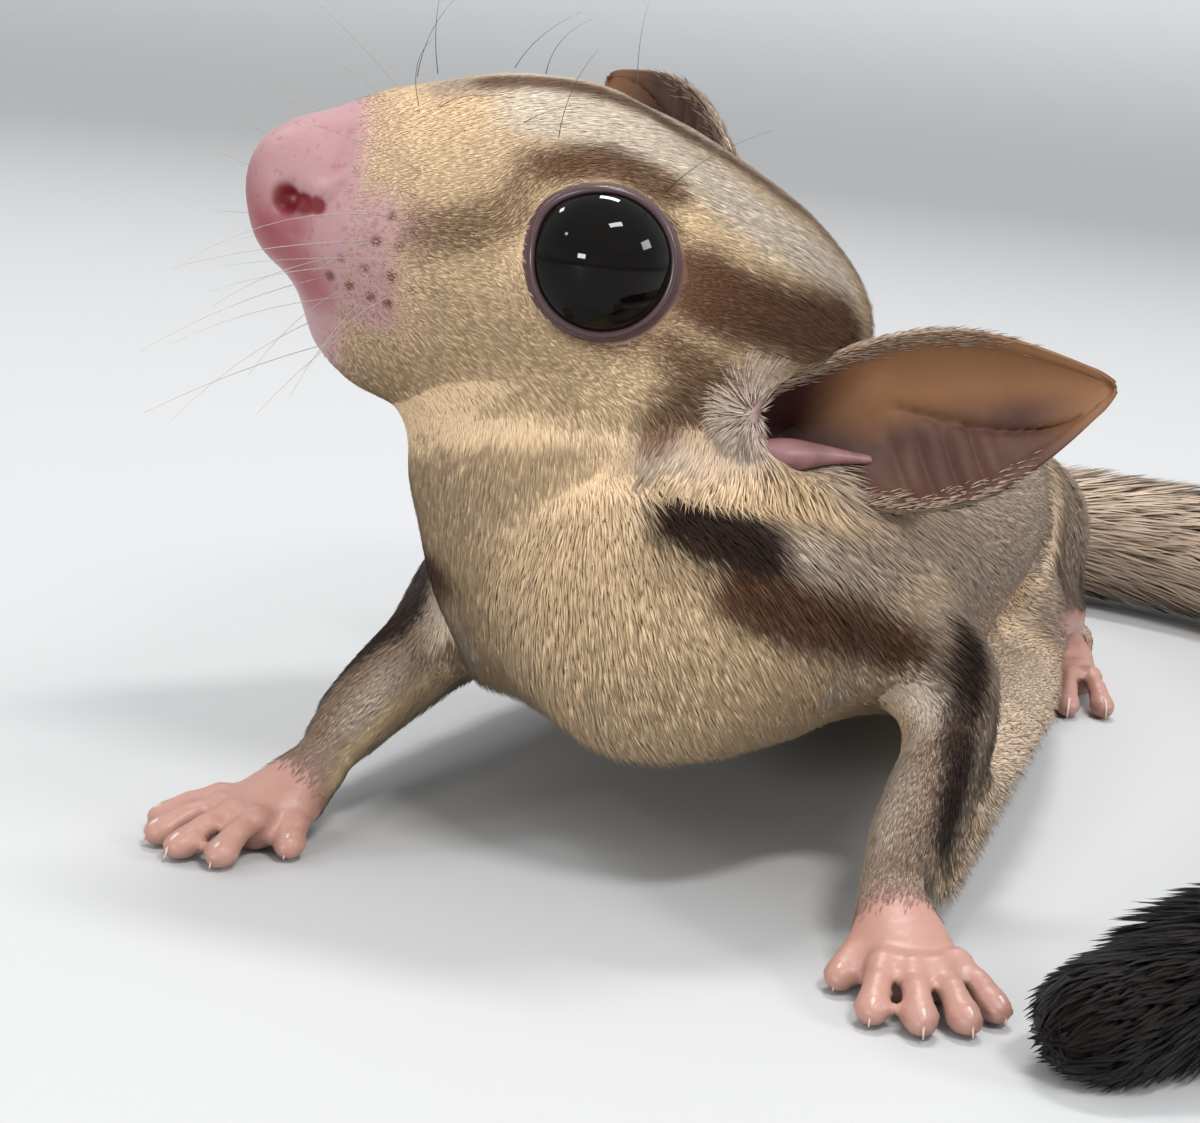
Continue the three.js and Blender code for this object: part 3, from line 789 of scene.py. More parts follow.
headMarks = {  # on the head, given for the left side
    "brown": [
        ([(7.2, -6.4, 4.2), (8.7, -6.6, 1.2), (8.4, -9.0, -0.8), (7.7, -11.0, -2.2)], 2.6, 0.6),
        ([(7.6, -5.8, 4.6), (6.9, -2.6, 6.4), (7.6, 1.4, 6.5)], 2.4, 0.8),
        ([(0, -10.0, 6.4), (0, -3.0, 8.6), (0, 5.0, 8.9), (0, 14.0, 7.4)], 2.1, 0.75),
        ([(6.1, -13.6, -3.6), (6.4, -13.0, -6.6), (6.6, -12.0, -8.4)], 3.4, 0.25),
        ([(3.4, -15.2, -11.2), (3.0, -13.4, -13.2)], 2.4, 0.2),
        ([(9.0, 17.6, -0.6), (8.0, 19.5, 0.4)], 2.4, 0.7),
        ([(11.2, 5.2, 2.6), (11.1, 7.4, 2.4), (10.2, 11.6, 2.6), (7.6, 15.4, 2.8)], 3.9, 0.95),
        ([(12.9, 5.2, -1.2), (12.8, 7.6, -2.4), (13.8, 6.6, -5.4)], 2.8, 0.7),
        ([(13.8, 6.6, -5.4), (15.6, 5.6, -8.6), (17.0, 4.2, -11.6)], 1.9, 0.4),
        ([(10.2, 13.4, 1.0), (8.6, 17.0, 1.6), (9.4, 21.0, 1.0)], 3.2, 0.8),
    ],
    "grey": [
        ([(0, -12.2, 5.0), (0, -8.6, 6.8), (0, -3.0, 8.6), (0, 5.0, 8.9), (0, 14.0, 7.4), (0, 20.0, 4.0)],
         2.4, 1.0),
        ([(2.0, 20.0, 2.6), (7.0, 20.0, 1.6), (10.0, 21.0, -3.0)], 3.8, 0.8),
        ([(12.2, 12.0, -3.2), (12.6, 12.4, -4.6)], 3.4, 0.8),
        ([(14.0, 7.6, -7.0), (15.6, 10.4, -7.2), (15.0, 13.6, -7.0), (14.0, 17.0, -6.6)], 3.2, 0.9),
    ],
    "white": [
        ([(12.2, 12.0, -3.2), (12.6, 12.4, -4.6)], 3.0, 0.6),
        ([(14.4, 8.0, -7.0), (15.6, 10.4, -7.2), (15.0, 13.6, -7.0), (14.0, 17.0, -6.6)], 2.8, 0.4),
        ([(3.2, -7.0, 6.4), (4.0, -3.0, 7.6), (4.4, 2.0, 8.2), (5.6, 9.0, 7.0), (4.8, 14.4, 5.6)], 4.2, 0.75),
    ],
    "bare": [
        ([(6.1, -13.6, -3.6), (6.4, -13.0, -6.6), (6.6, -12.0, -8.4)], 4.2, 0.7),
        ([(3.4, -15.2, -11.2), (3.0, -13.4, -13.2)], 2.4, 0.55),
        ([(12.2, 12.4, -3.2), (12.6, 12.8, -4.6)], 3.0, 0.5),
        ([(14.0, 10.6, -6.6), (14.4, 13.6, -6.6)], 2.4, 0.3),
    ],
    "rose": [
        ([(0, -20.4, -6.4), (2.2, -19.4, -7.6), (3.9, -17.8, -8.4), (4.6, -15.8, -9.6)], 2.7, 0.95),
        ([(3.3, -18.9, -6.4), (4.2, -17.6, -6.2)], 1.5, 0.8),
    ],
}
bodyMarks = {  # on the body, given for the left side
    "dark": [
        ([(1.6, -5.2, 25.9), (3.6, -4.9, 25.2), (6.4, -3.4, 24.3)], 3.0, 1.0),
        # painted shade: a dark stripe down the arm where it meets the flank, on both sides
        ([(17.6, 9.8, 18.6), (19.0, 8.2, 13.6), (20.4, 4.0, 10.6), (21.0, 0.4, 7.6)], 2.9, 0.9),
    ],
    "white": [
        ([(8.4, -1.8, 24.8), (10.4, 1.6, 25.6), (11.6, 4.0, 26.0)], 2.2, 0.5),
        ([(11.6, 1.8, 14.4), (14.6, 4.6, 14.2), (17.0, 7.2, 13.9)], 2.7, 0.65),
        ([(16.6, 2.2, 10.6), (17.4, -3.6, 8.2)], 1.9, 0.35),
        ([(21.6, 30.0, 6.6), (22.0, 13.7, 5.6), (22.2, 0.0, 3.6)], 1.3, 0.8),
        # painted light: a paler band across the throat below the jaw, where it lies in the head's shade
        ([(0, -3.8, 24.6), (5.8, -2.7, 24.5), (10.3, 0.1, 24.1)], 2.9, 0.35),
    ],
    "brown": [
        ([(0.6, -6.4, 22.6), (5.5, -5.9, 22.5)], 2.2, 0.4),
        # painted shade: a faint brown band across the neck just under the jaw, where the surface faces the
        # light
        ([(0, -3.6, 28.4), (4.9, -2.7, 28.3), (10.6, 0.7, 27.8)], 2.1, 0.24),
        ([(6.4, -5.0, 21.8), (9.5, -3.2, 20.6), (12.6, 1.6, 19.4), (15.0, 5.4, 17.4)], 3.0, 1.0),
        ([(17.0, 10.0, 15.7), (18.6, 3.4, 11.5), (19.6, -2.2, 9.0), (18.6, -9.0, 5.0)], 3.6, 0.45),
    ],
}
bodyMiddle = ((14, 17, 25, 33), (-1, -1.5, -7.2, -8.6))  # heights, and how far left the middle lies there
spine = [(-6.5, 16, 33), (0, 12, 31.2), (-1, 32, 30.5), (-4, 58, 31), (-8, 80, 27), (-11, 94, 19.5)]
coverPlan = {  # where the grey of the back meets the cream of the throat and belly
    "neckMiddle": (-6.0, 9.0), "twist": 16, "neckFrom": 82, "neckTo": 98,
    "chestTop": 24.4, "chestSlope": 0.62, "chestFrom": 50, "chestTo": 62, "chestSoft": 1.2,
    "trunkBelow": (26.5, 23.5),  # heights between neck and trunk
    "flankBehind": (3, 9), "belly": (-0.55, -0.15),
    "limbs": (0.15, 0.6), "limbTop": 0.9, "limbFront": 0.5, "membrane": 0.9,
    "spineWidth": 3.4, "spineStrength": 0.75,
    "tipSoft": 3,
    "bareMuzzle": (-11.6, -16.2), "bareSlope": 0.28,
    "barePaw": (1.6, -3.4), "pawSlope": 0.5,
}
shadePlan = {  # painted shade in the nostril hollows, along the lip groove and in the ear's opening; also the dark whisker roots and the darker skin round the eye
    "hollowReach": 1.35, "lip": (0.6, 0.1, 0.5), "poreRadius": 0.42,
    "canal": (1.25, 0.75), "canalFloor": [(7.6, 17.0, -5.2), (6.4, 18.6, -6.0)], "floorReach": (3.2, 2.0),
    "nearEye": (3.5, 1.5), "lid": (13, 5), "halo": (24, 7), "haloBehind": (60, 110), "haloStrength": 0.7,
}
markKinds = ("grey", "brown", "dark", "white", "black", "bare", "shade", "lid", "pore", "rose")
pores = [(6.1, -12.1, 0.9), (6.7, -11.9, -0.4), (6.8, -12.7, -2.3), (6.7, -12.9, -4.2), (7.3, -11.5, -3.8),
         (8.1, -9.8, -3.9), (6.5, -12.8, -6.1), (5.9, -14.3, -6.3), (7.3, -11.2, -5.8), (6.1, -13.2, -7.8),
         (6.6, -11.8, -7.8), (7.8, -9.7, -5.9), (7.1, -10.7, -7.7), (5.6, -14.5, -7.9), (6.4, -13.0, -9.4),
         (7.4, -10.6, -9.6)]  # whisker roots, on the head's left side

coatPlan = {  # length and width of a tuft in mm, lift off the skin in degrees, tufts for a square mm
    "nose": (0.9, 0.09, 7, 30),
    "head": (1.5, 0.1, 7, 32),
    "neck": (2.0, 0.115, 7, 22),
    "chest": (2.1, 0.125, 8, 20),
    "abdomen": (2.8, 0.18, 9, 9),
    "upper_arm": (1.8, 0.125, 9, 17),
    "forearm": (1.3, 0.105, 9, 24),
    "hand": (0.6, 0.08, 8, 24),
    "thigh": (2.6, 0.18, 10, 9),
    "shank": (1.5, 0.13, 9, 14),
    "foot": (0.6, 0.08, 8, 14),
    "patagium": (1.5, 0.14, 8, 12),
    "tail": (7.0, 0.26, 18, 5.0),
}
layPlan = {
    "noseTip": (0, -19, -6.5), "headMiddle": (0, 2, -3),
    "muzzleLength": 0.5,  # share of the length at the nose
    "crownLength": 0.6,  # mm added toward the nape
    "whorl": (12.0, 12.6, -3.6),  # the pale tuft by the ear
    "whorlRadius": 3.1, "whorlLift": 11, "whorlLength": 1.9, "whorlThick": 0.5,
    "locks": [(14.4, 8.4, -6.6), (15.2, 11.0, -6.8), (14.6, 14.0, -6.8), (13.6, 17.6, -6.4)],  # below the ear
    "locksRadius": 3.2, "locksWay": (0.46, -0.05, -0.9), "locksLength": 1.3, "locksLift": 5,
    "wayRounds": 30, "sizeRounds": 24,
    "bareLength": 0.6,  # how much shorter on bare skin of the head
    "outOfEye": 1.3,
    "tailTipLength": 2.2,
    "tailRootLength": 3.0,
    "tailTaper": 0.35,  # how fast the coat grows longer away from the tail's ends
    "lidLength": 0.4,  # share of the length at the lids
    "lidClear": (45, 8), "lidNear": (6, 2),  # degrees past their edge, mm off the eyeball, full to shortest
    "limbs": {  # the way the coat lies on the left limbs, on the body
        "upper_arm": (5.5, 3.5, -4.2), "forearm": (0.7, -13, -5.5), "hand": (0.5, -10, -3),
        "thigh": (7.0, -16, -4.0), "shank": (1.2, 17, -4.5), "foot": (0.4, -10, -2),
    },
}

web = Web(bodyCount, bodyFaces)
bodyPoints = skinPoints[:bodyCount]
bodyNormals = unit(web.even(pointNormals(bodyPoints, bodyFaces), 3))


def softShare(kinds, rounds=6):
    return web.even(partShare(kinds), rounds)


def strokes(place, marks, kind):
    mask = np.zeros(len(place))
    for path, radius, strength in marks.get(kind, []):
        mask = np.maximum(mask, strength * smooth(radius * 1.25, radius * 0.2, toPath(place, path)))
    return mask


def greyCover():
    atBody = toBody(bodyPoints)
    x, y, z = atBody.T
    middleX, middleY = coverPlan["neckMiddle"]
    turn = np.abs(np.degrees(np.arctan2(x - middleX, middleY - y)) + coverPlan["twist"])
    neck = smooth(coverPlan["neckFrom"], coverPlan["neckTo"], turn)
    edge = coverPlan["chestTop"] - coverPlan["chestSlope"] * np.abs(x)
    soft = coverPlan["chestSoft"]
    chest = smooth(edge - soft, edge + soft, z) * smooth(coverPlan["chestFrom"], coverPlan["chestTo"], turn)
    flank = smooth(*coverPlan["flankBehind"], y) * smooth(*coverPlan["belly"], bodyNormals[:, 2])
    low = smooth(*coverPlan["trunkBelow"], z)
    trunk = np.maximum(neck * (1 - low), np.maximum(chest, flank) * low)
    trunk *= softShare(("neck", "chest", "abdomen"))
    outer = np.maximum(bodyNormals[:, 0] * np.sign(x - middleX), 0)
    outer = outer + coverPlan["limbTop"] * np.maximum(bodyNormals[:, 2], 0)
    outer += coverPlan["limbFront"] * np.maximum(-bodyNormals[:, 1], 0)
    limbs = smooth(*coverPlan["limbs"], outer) * softShare(tuple(layPlan["limbs"]))
    membrane = coverPlan["membrane"] * softShare("patagium", 4)
    return np.maximum.reduce([trunk, limbs, softShare("tail", 4), membrane])


def bareSkin(atHead):
    low, high = coverPlan["bareMuzzle"]
    bare = smooth(low, high, atHead[:, 1] + coverPlan["bareSlope"] * (atHead[:, 2] + 5))
    bare *= softShare(("head", "nose"))
    for plan, name in paws.values():
        local = (bodyPoints - fromBody((*plan["wrist"][name], 0))) * (sides[name], 1, 1)
        local = local @ turnAbout("Z", plan["heading"][name])
        near = smooth(26, 22, np.linalg.norm(local, axis=1)) * softShare(("hand", "foot", "forearm", "shank"))
        down = local[:, 1] + coverPlan["pawSlope"] * (local[:, 2] - 3)
        bare = np.maximum(bare, smooth(*coverPlan["barePaw"], down) * near)
    return bare


def markings():
    atHead, atBody = folded(bodyPoints), toBody(bodyPoints)
    middle = np.interp(atBody[:, 2], *bodyMiddle)[:, None] * (1, 0, 0)
    atRight = (atBody - middle) * (-1, 1, 1) + middle
    onHead, onBody = softShare(("head", "nose", "neck")), 1 - softShare(("head", "nose"))
    masks = {}
    for kind in markKinds:
        body = np.maximum(strokes(atBody, bodyMarks, kind), strokes(atRight, bodyMarks, kind))
        masks[kind] = np.maximum(strokes(atHead, headMarks, kind) * onHead, body * onBody)
    masks["grey"] = np.maximum(masks["grey"], greyCover())
    alongSpine = smooth(coverPlan["spineWidth"], coverPlan["spineWidth"] / 3, toPath(atBody, spine))
    alongSpine *= coverPlan["spineStrength"] * softShare(("neck", "chest", "abdomen"))
    masks["dark"] = np.maximum(masks["dark"], alongSpine)
    left = alongTail(atBody)[1] - bodyPlan["tailTipLength"]
    masks["black"] = smooth(coverPlan["tipSoft"], -coverPlan["tipSoft"], left) * softShare("tail", 3)
    masks["bare"] = np.maximum(masks["bare"], bareSkin(atHead))
    # painted shade: the nostril pits and the lip groove get a darkening mask
    reach = shadePlan["hollowReach"]
    hollows = [bell(atHead, centre, radius * reach) for centre, radius, _ in facePlan["hollows"]]
    outer, inner, strength = shadePlan["lip"]
    lip = strength * smooth(outer, inner, toPath(atHead, facePlan["grooves"][1][0]))
    masks["shade"] = np.maximum.reduce([*hollows, lip]) * onHead
    # painted shade: the inside and floor of the ear's opening get a darkening mask
    path, width, _ = facePlan["canal"]
    inside = smooth(*(width * share for share in shadePlan["canal"]), toPath(atHead, path))
    floor = smooth(*shadePlan["floorReach"], toPath(atHead, shadePlan["canalFloor"]))
    masks["canal"] = np.maximum(inside, floor)
    spots = [bell(atHead, place, shadePlan["poreRadius"]) for place in pores]
    masks["pore"] = np.maximum.reduce(spots) * onHead
    for name in sides:
        far, off, turn = eyeAngles(bodyPoints, name)
        off = off - lidEdge(turn)
        near = smooth(*shadePlan["nearEye"], far - eyeRadius)
        masks["lid"] = np.maximum(masks["lid"], smooth(*shadePlan["lid"], off) * near)
        behind = 0.35 + 0.65 * smooth(*shadePlan["haloBehind"], turn)
        halo = shadePlan["haloStrength"] * smooth(*shadePlan["halo"], off) * behind * near
        masks["brown"] = np.maximum(masks["brown"], halo)
    return masks


marks = markings()
print("markings", {kind: round(float(mask.max()), 2) for kind, mask in marks.items()})


# The lie of the coat, and the length, width and lift of its tufts

def layOfCoat():
    atHead, atBody = toHead(bodyPoints), toBody(bodyPoints)
    onSide = [1, 0, 0] * np.sign(atHead[:, :1]) + [0, 1, 1]  # turns the left side's ways over on the right
    mirror = [1, 0, 0] * np.sign(atBody[:, :1] + 3) + [0, 1, 1]
    fromNose = (atHead - layPlan["noseTip"]) @ headAxes.T
    fromCrown = bodyPoints - fromHead([layPlan["headMiddle"]])
    level = np.zeros_like(bodyPoints)
    ways = {kind: mirror * way for kind, way in layPlan["limbs"].items()}
    alongIt, left = alongTail(atBody)
    ways |= {"nose": fromNose, "head": fromNose, "neck": fromCrown, "tail": alongIt,
             "chest": unit(fromCrown) + (0, 0.55, -0.1), "abdomen": level + (0, 1, -0.3),
             "patagium": level + (0, 0.8, -0.6)}
    way, sizes = level, np.zeros((bodyCount, 4))
    for kind, row in coatPlan.items():
        here = partShare(kind)[:, None]
        way = way + unit(ways[kind]) * here
        sizes += np.array(row) * here
    way = web.even(way, layPlan["wayRounds"])
    length, width, lift, thick = web.even(sizes, layPlan["sizeRounds"]).T
    onHead = softShare(("head", "nose"))
    room = np.minimum(layPlan["tailTipLength"] + layPlan["tailTaper"] * left,
                      layPlan["tailRootLength"] + layPlan["tailTaper"] * (left.max() - left))
    length = np.where(softShare("tail", 3) > 0.5, np.minimum(length, room), length)
    length = length * (1 - onHead * (1 - layPlan["muzzleLength"]) * smooth(-2, -15, atHead[:, 1]))
    length = length + onHead * layPlan["crownLength"] * smooth(4, 16, atHead[:, 1])
    out = folded(bodyPoints) - layPlan["whorl"]
    whorl = smooth(layPlan["whorlRadius"], layPlan["whorlRadius"] / 2, np.linalg.norm(out, axis=1))
    way = way * (1 - whorl[:, None]) + unit(out * onSide) @ headAxes.T * whorl[:, None]
    lift = lift + (layPlan["whorlLift"] - lift) * whorl
    length = length + (layPlan["whorlLength"] - length) * whorl
    beside = toPath(folded(bodyPoints), layPlan["locks"])
    hanging = smooth(layPlan["locksRadius"], layPlan["locksRadius"] / 3, beside) * (1 - whorl)
    way = way * (1 - hanging[:, None]) + (onSide * layPlan["locksWay"]) @ headAxes.T * hanging[:, None]
    length = length + layPlan["locksLength"] * hanging
    lift = lift + layPlan["locksLift"] * hanging
    for name, side in sides.items():
        far, off, turn = eyeAngles(bodyPoints, name)
        close = smooth(*layPlan["lidClear"], off - lidEdge(turn))
        close *= smooth(*layPlan["lidNear"], far - eyeRadius)
        length = length * (1 - (1 - layPlan["lidLength"]) * close)
        facing = np.array(lidPlan["facing"]) * (side, 1, 1) @ headAxes.T
        outOfEye = bodyPoints - eyeCentres[name]
        outOfEye = unit(outOfEye - np.outer(outOfEye @ facing, facing) / (facing @ facing))
        toward = np.maximum(0, -(unit(way) * outOfEye).sum(1))
        way = way + outOfEye * (layPlan["outOfEye"] * close * toward)[:, None]
    short = layPlan["bareLength"] * onHead * smooth(0.1, 0.7, marks["bare"])
    length = length * (1 - short * (1 - whorl) * (1 - hanging))
    thick = thick * (1 - onHead * (1 - whorl) * smooth(0.15, 0.9, marks["bare"]))
    thick = thick * (1 - (1 - onHead) * smooth(0.3, 0.95, marks["bare"]))
    thick = thick * (1 - smooth(0.1, 0.5, marks["lid"])) * (1 - smooth(0.25, 0.6, marks["canal"]))
    thick = thick * (1 + layPlan["whorlThick"] * whorl)
    way = way - bodyNormals * (way * bodyNormals).sum(1)[:, None]
    return unit(way), np.stack([length, width, np.radians(lift)], axis=1), thick


lie, tufts, thick = layOfCoat()


# What the skin and coat carry at each point

def withEars(values, earValues=None):
    spare = np.zeros((len(skinPoints) - bodyCount, *values.shape[1:]))
    whole = np.concatenate([values, spare])
    start = bodyCount
    for name, (made, share) in extras.items():
        end = start + len(made[0])
        if earValues and share is not None:
            whole[start:end] = earValues(name, made, share)
        start = end
    return whole


def earSide(share):  # 0 in the hollow and 1 on the back
    return np.repeat([0.0, 1.0], len(share) // 2)


def earFur(name, made, share):
    s, t = share.T
    base = smooth(0.5, 0.1, s) * earSide(share)
    rim = smooth(0.8, 0.98, np.abs(t)) * smooth(0.8, 0.3, s) * earPlan["furRim"]
    return earPlan["furAmount"] * np.maximum(base, rim)


def earLie(name, made, share):
    away = unit(np.array(earPlan[name.split("_")[1]]["along"], float)) @ headAxes.T
    return np.tile(away, (len(share), 1))


allNormals = pointNormals(skinPoints, skinFaces)
fields = {
    "lie": withEars(lie, earLie),
    "tuft": withEars(tufts, lambda name, made, share: np.tile(earPlan["tuft"], (len(share), 1))),
    "thick": withEars(thick, earFur),
    "rootNormal": np.concatenate([bodyNormals, allNormals[bodyCount:]]),
    "coverA": withEars(np.stack([marks[kind] for kind in markKinds[:3]], axis=1),
                       lambda name, made, share: np.tile(earPlan["cover"], (len(share), 1))),
    "coverB": withEars(np.stack([marks[kind] for kind in markKinds[3:6]], axis=1)),
    "coverC": withEars(np.stack([marks[kind] for kind in markKinds[6:9]], axis=1)),
    "rose": withEars(marks["rose"]),
    "canal": withEars(marks["canal"]),
    "leaf": withEars(np.zeros((bodyCount, 3)),
                     lambda name, made, share: np.column_stack([share, earSide(share)])),
}
along = (skinPoints * fields["lie"]).sum(1)[:, None] * fields["lie"]
fields["grain"] = skinPoints - 0.86 * along  # drawn out along the lie of the coat


def carry(mesh, names, points=None):
    for name in names:
        values = fields[name] if points is None else fields[name][points]
        kind, key = ("FLOAT", "value") if values.ndim == 1 else ("FLOAT_VECTOR", "vector")
        attribute = mesh.attributes.new(name, kind, "POINT")
        attribute.data.foreach_set(key, values.astype(np.float32).ravel())


# Node trees written as expressions

class Wire:
    def __init__(self, bench, socket):
        self.bench, self.socket = bench, socket

    def joined(self, operation, *sides):
        flat = not any(side.socket.type not in ("VALUE", "INT") if isinstance(side, Wire)
                       else isinstance(side, tuple) for side in sides)
        kind = "ShaderNodeMath" if flat else "ShaderNodeVectorMath"
        sides = [side if flat or isinstance(side, (Wire, tuple)) else (side,) * 3 for side in sides]
        return self.bench.node(kind, {"operation": operation}, dict(enumerate(sides)))

    def __add__(self, other):
        return self.joined("ADD", self, other)

    def __radd__(self, other):
        return self.joined("ADD", other, self)

    def __sub__(self, other):
        return self.joined("SUBTRACT", self, other)

    def __rsub__(self, other):
        return self.joined("SUBTRACT", other, self)

    def __mul__(self, other):
        return self.joined("MULTIPLY", self, other)

    def __rmul__(self, other):
        return self.joined("MULTIPLY", other, self)

    def unit(self):
        return self.joined("NORMALIZE", self)

    def parts(self):
        return [self.bench.node("ShaderNodeSeparateXYZ", {}, {0: self}, k) for k in range(3)]

    def eased(self, low, high, start=0.0, end=1.0):
        return self.bench.node("ShaderNodeMapRange", {"interpolation_type": "SMOOTHSTEP"},
                               {0: self, 1: low, 2: high, 3: start, 4: end})


class Bench:
    def __init__(self, tree):
        self.tree = tree

    def node(self, kind, settings=None, values=None, output=0):
        made = self.tree.nodes.new(kind)
        for setting, value in (settings or {}).items():
            setattr(made, setting, value)
        shown = [socket for socket in made.inputs if socket.enabled]
        for key, value in (values or {}).items():
            socket = shown[key] if isinstance(key, int) else next(each for each in shown if each.name == key)
            if isinstance(value, Wire):
                self.tree.links.new(value.socket, socket)
            else:
                socket.default_value = value
        given = [socket for socket in made.outputs if socket.enabled]
        return Wire(self, given[output] if isinstance(output, int)
                    else next(each for each in given if each.name == output))

    def mix(self, share, first, second):
        first, second = ((*side, 1) if isinstance(side, tuple) else side for side in (first, second))
        return self.node("ShaderNodeMix", {"data_type": "RGBA"}, {0: share, 1: first, 2: second})


# Colours and finish

palette = {
    "cream": (1.0, 0.72, 0.44), "pale": (1.0, 0.86, 0.7), "grey": (0.58, 0.44, 0.33),
    "brown": (0.17, 0.08, 0.042), "dark": (0.035, 0.018, 0.012), "black": (0.008, 0.006, 0.005),
    # the last colour on the next line is painted shade for the nostril pits and the lip groove
    "pink": (0.39, 0.215, 0.222), "rose": (0.24, 0.035, 0.045), "hollowShade": (0.16, 0.006, 0.01),
    "paw": (0.4, 0.21, 0.165), "lid": (0.085, 0.043, 0.043), "pore": (0.14, 0.04, 0.032),
    # on the next line the last colour is painted shade for the ear's opening, and the middle one is partly
    # painted shade in the ear's pleats
    "earFront": (0.2, 0.092, 0.04), "earLow": (0.045, 0.014, 0.009), "earDark": (0.024, 0.0035, 0.0035),
    "eye": (0.002, 0.0015, 0.0015), "eyeRing": (0.004, 0.003, 0.002),
    "floor": (0.48, 0.48, 0.48), "floorFar": (0.92, 0.92, 0.92),
}


def attribute(bench, name):
    return bench.node("ShaderNodeAttribute", {"attribute_name": name}, {}, "Vector")


def number(bench, name):
    return bench.node("ShaderNodeAttribute", {"attribute_name": name}, {}, "Fac")


def objectPlace(bench):
    return bench.node("ShaderNodeTexCoord", {}, {}, "Object")


def noise(bench, at, scale, detail=2.0):
    return bench.node("ShaderNodeTexNoise", {}, {"Vector": at, "Scale": scale, "Detail": detail}, "Fac")


def coatColour(bench, waver):  # the markings in order, each border broken up by waver
    grey, brown, dark = attribute(bench, "coverA").parts()
    white, black, bare = attribute(bench, "coverB").parts()
    colour = bench.mix(grey, palette["cream"], palette["grey"])
    for mask, name in ((white, "pale"), (brown, "brown"), (dark, "dark"), (black, "black")):
        colour = bench.mix((mask + (waver - 0.5) * 0.35 * (mask * (1 - mask) * 4)).eased(0.08, 0.92), colour,
                           palette[name])
    return bench.mix(bare * 0.7, colour, palette["pink"])


def newMaterial(name):
    made = bpy.data.materials.new(name)
    made.use_nodes = True
    return made, Bench(made.node_tree), made.node_tree.nodes["Principled BSDF"]


def setUp(shader, **values):
    for name, value in values.items():
        socket = shader.inputs[name.replace("_", " ")]
        if isinstance(value, Wire):
            value.bench.tree.links.new(value.socket, socket)
        else:
            socket.default_value = value


def furMaterial():
    made, bench, shader = newMaterial("fur")
    tone, along = number(bench, "tone"), attribute(bench, "patch").parts()[1]
    patchy = noise(bench, objectPlace(bench), 420.0)
    colour = coatColour(bench, tone)
    colour = colour * (along.eased(0.0, 1.0, 0.86, 1.08) * (0.93 + 0.14 * tone) * (0.9 + 0.2 * patchy))
    facing = bench.node("ShaderNodeNewGeometry", {}, {}, "Normal")
    turned = (facing * 0.1 + attribute(bench, "rootNormal") * 0.9).unit()
    setUp(shader, Base_Color=colour, Roughness=0.82, Normal=turned, Sheen_Weight=0.08, Sheen_Roughness=0.5,
          Specular_IOR_Level=0.15)
    return made


def skinMaterial():
    made, bench, shader = newMaterial("skin")
    place = objectPlace(bench)
    streak = noise(bench, attribute(bench, "grain"), 2.6, 3.0)
    bare = attribute(bench, "coverB").parts()[2]
    shade, lid, pore = attribute(bench, "coverC").parts()
    blotch = noise(bench, place, 380.0, 3.0)
    wrinkle = noise(bench, place, 1500.0, 2.0)
    coat = coatColour(bench, streak) * (0.74 + 0.36 * streak)
    rose = number(bench, "rose")
    flesh = bench.mix(blotch.eased(0.45, 0.8) * 0.25 + rose * 0.85, palette["pink"], palette["rose"])
    flesh = bench.mix(wrinkle.eased(0.42, 0.3) * 0.3, flesh, palette["rose"])
    flesh = bench.mix(place.parts()[2].eased(0.02, 0.012), flesh, palette["paw"])
    colour = bench.mix(bare.eased(0.15, 0.8), coat, flesh)
    colour = bench.mix(pore.eased(0.2, 0.7) * 0.9, colour, palette["pore"])
    colour = bench.mix(lid.eased(0.3, 0.8), colour, palette["lid"])
    # painted shade: the nostril pits and the lip groove turn deep red
    colour = bench.mix(shade.eased(0.1, 0.55), colour, palette["hollowShade"])
    # painted shade: the ear's opening turns near black-red
    colour = bench.mix(number(bench, "canal"), colour, palette["earDark"])
    lay = (streak - 0.5) * (1 - bare.eased(0.2, 0.8)) + wrinkle * bare * 0.35 - pore * 0.2
    bump = bench.node("ShaderNodeBump", {}, {"Strength": 0.5, "Distance": 0.00025, "Height": lay})
    setUp(shader, Base_Color=colour, Roughness=0.72 - 0.3 * bare - 0.2 * lid, Normal=bump)
    return made


def earMaterial():
    made, bench, shader = newMaterial("ear")
    s, t, back = attribute(bench, "leaf").parts()
    place = objectPlace(bench)
    mottle = noise(bench, place, 260.0, 3.0)
    # the lower, pleated half of the hollow is darker: partly the ear's own colour, partly painted shade in
    # the pleats and the cup
    low = t.eased(-0.35, 0.35) * s.eased(0.98, 0.7)
    colour = bench.mix(low * (0.6 + 0.6 * mottle), palette["earFront"], palette["earLow"])
    # painted shade: the deep base of the hollow by the opening is darkened
    colour = bench.mix(s.eased(0.3, 0.06) * (1 - back), colour, palette["earDark"])
    colour = bench.mix(back * s.eased(0.75, 0.35), colour, palette["grey"])
    fine = noise(bench, place, 1900.0)
    bump = bench.node("ShaderNodeBump", {}, {"Strength": 0.25, "Distance": 0.00012, "Height": fine + mottle})
    setUp(shader, Base_Color=colour, Roughness=0.5 + 0.2 * mottle, Normal=bump, Specular_IOR_Level=0.3)
    return made


def plainMaterial(name, colour, speck=0.0, scale=300.0, **values):
    made, bench, shader = newMaterial(name)
    mottle = noise(bench, objectPlace(bench), scale)
    darker = tuple(part * (1 - speck) for part in colour)
    setUp(shader, Base_Color=bench.mix(mottle, colour, darker), **values)
    return made


def eyeMaterial():
    made, bench, shader = newMaterial("eye")
    ring = noise(bench, objectPlace(bench), 500.0)
    setUp(shader, Base_Color=bench.mix(ring, palette["eye"], palette["eyeRing"]), Roughness=0.03, IOR=1.25,
          Coat_Weight=0.0)
    return made


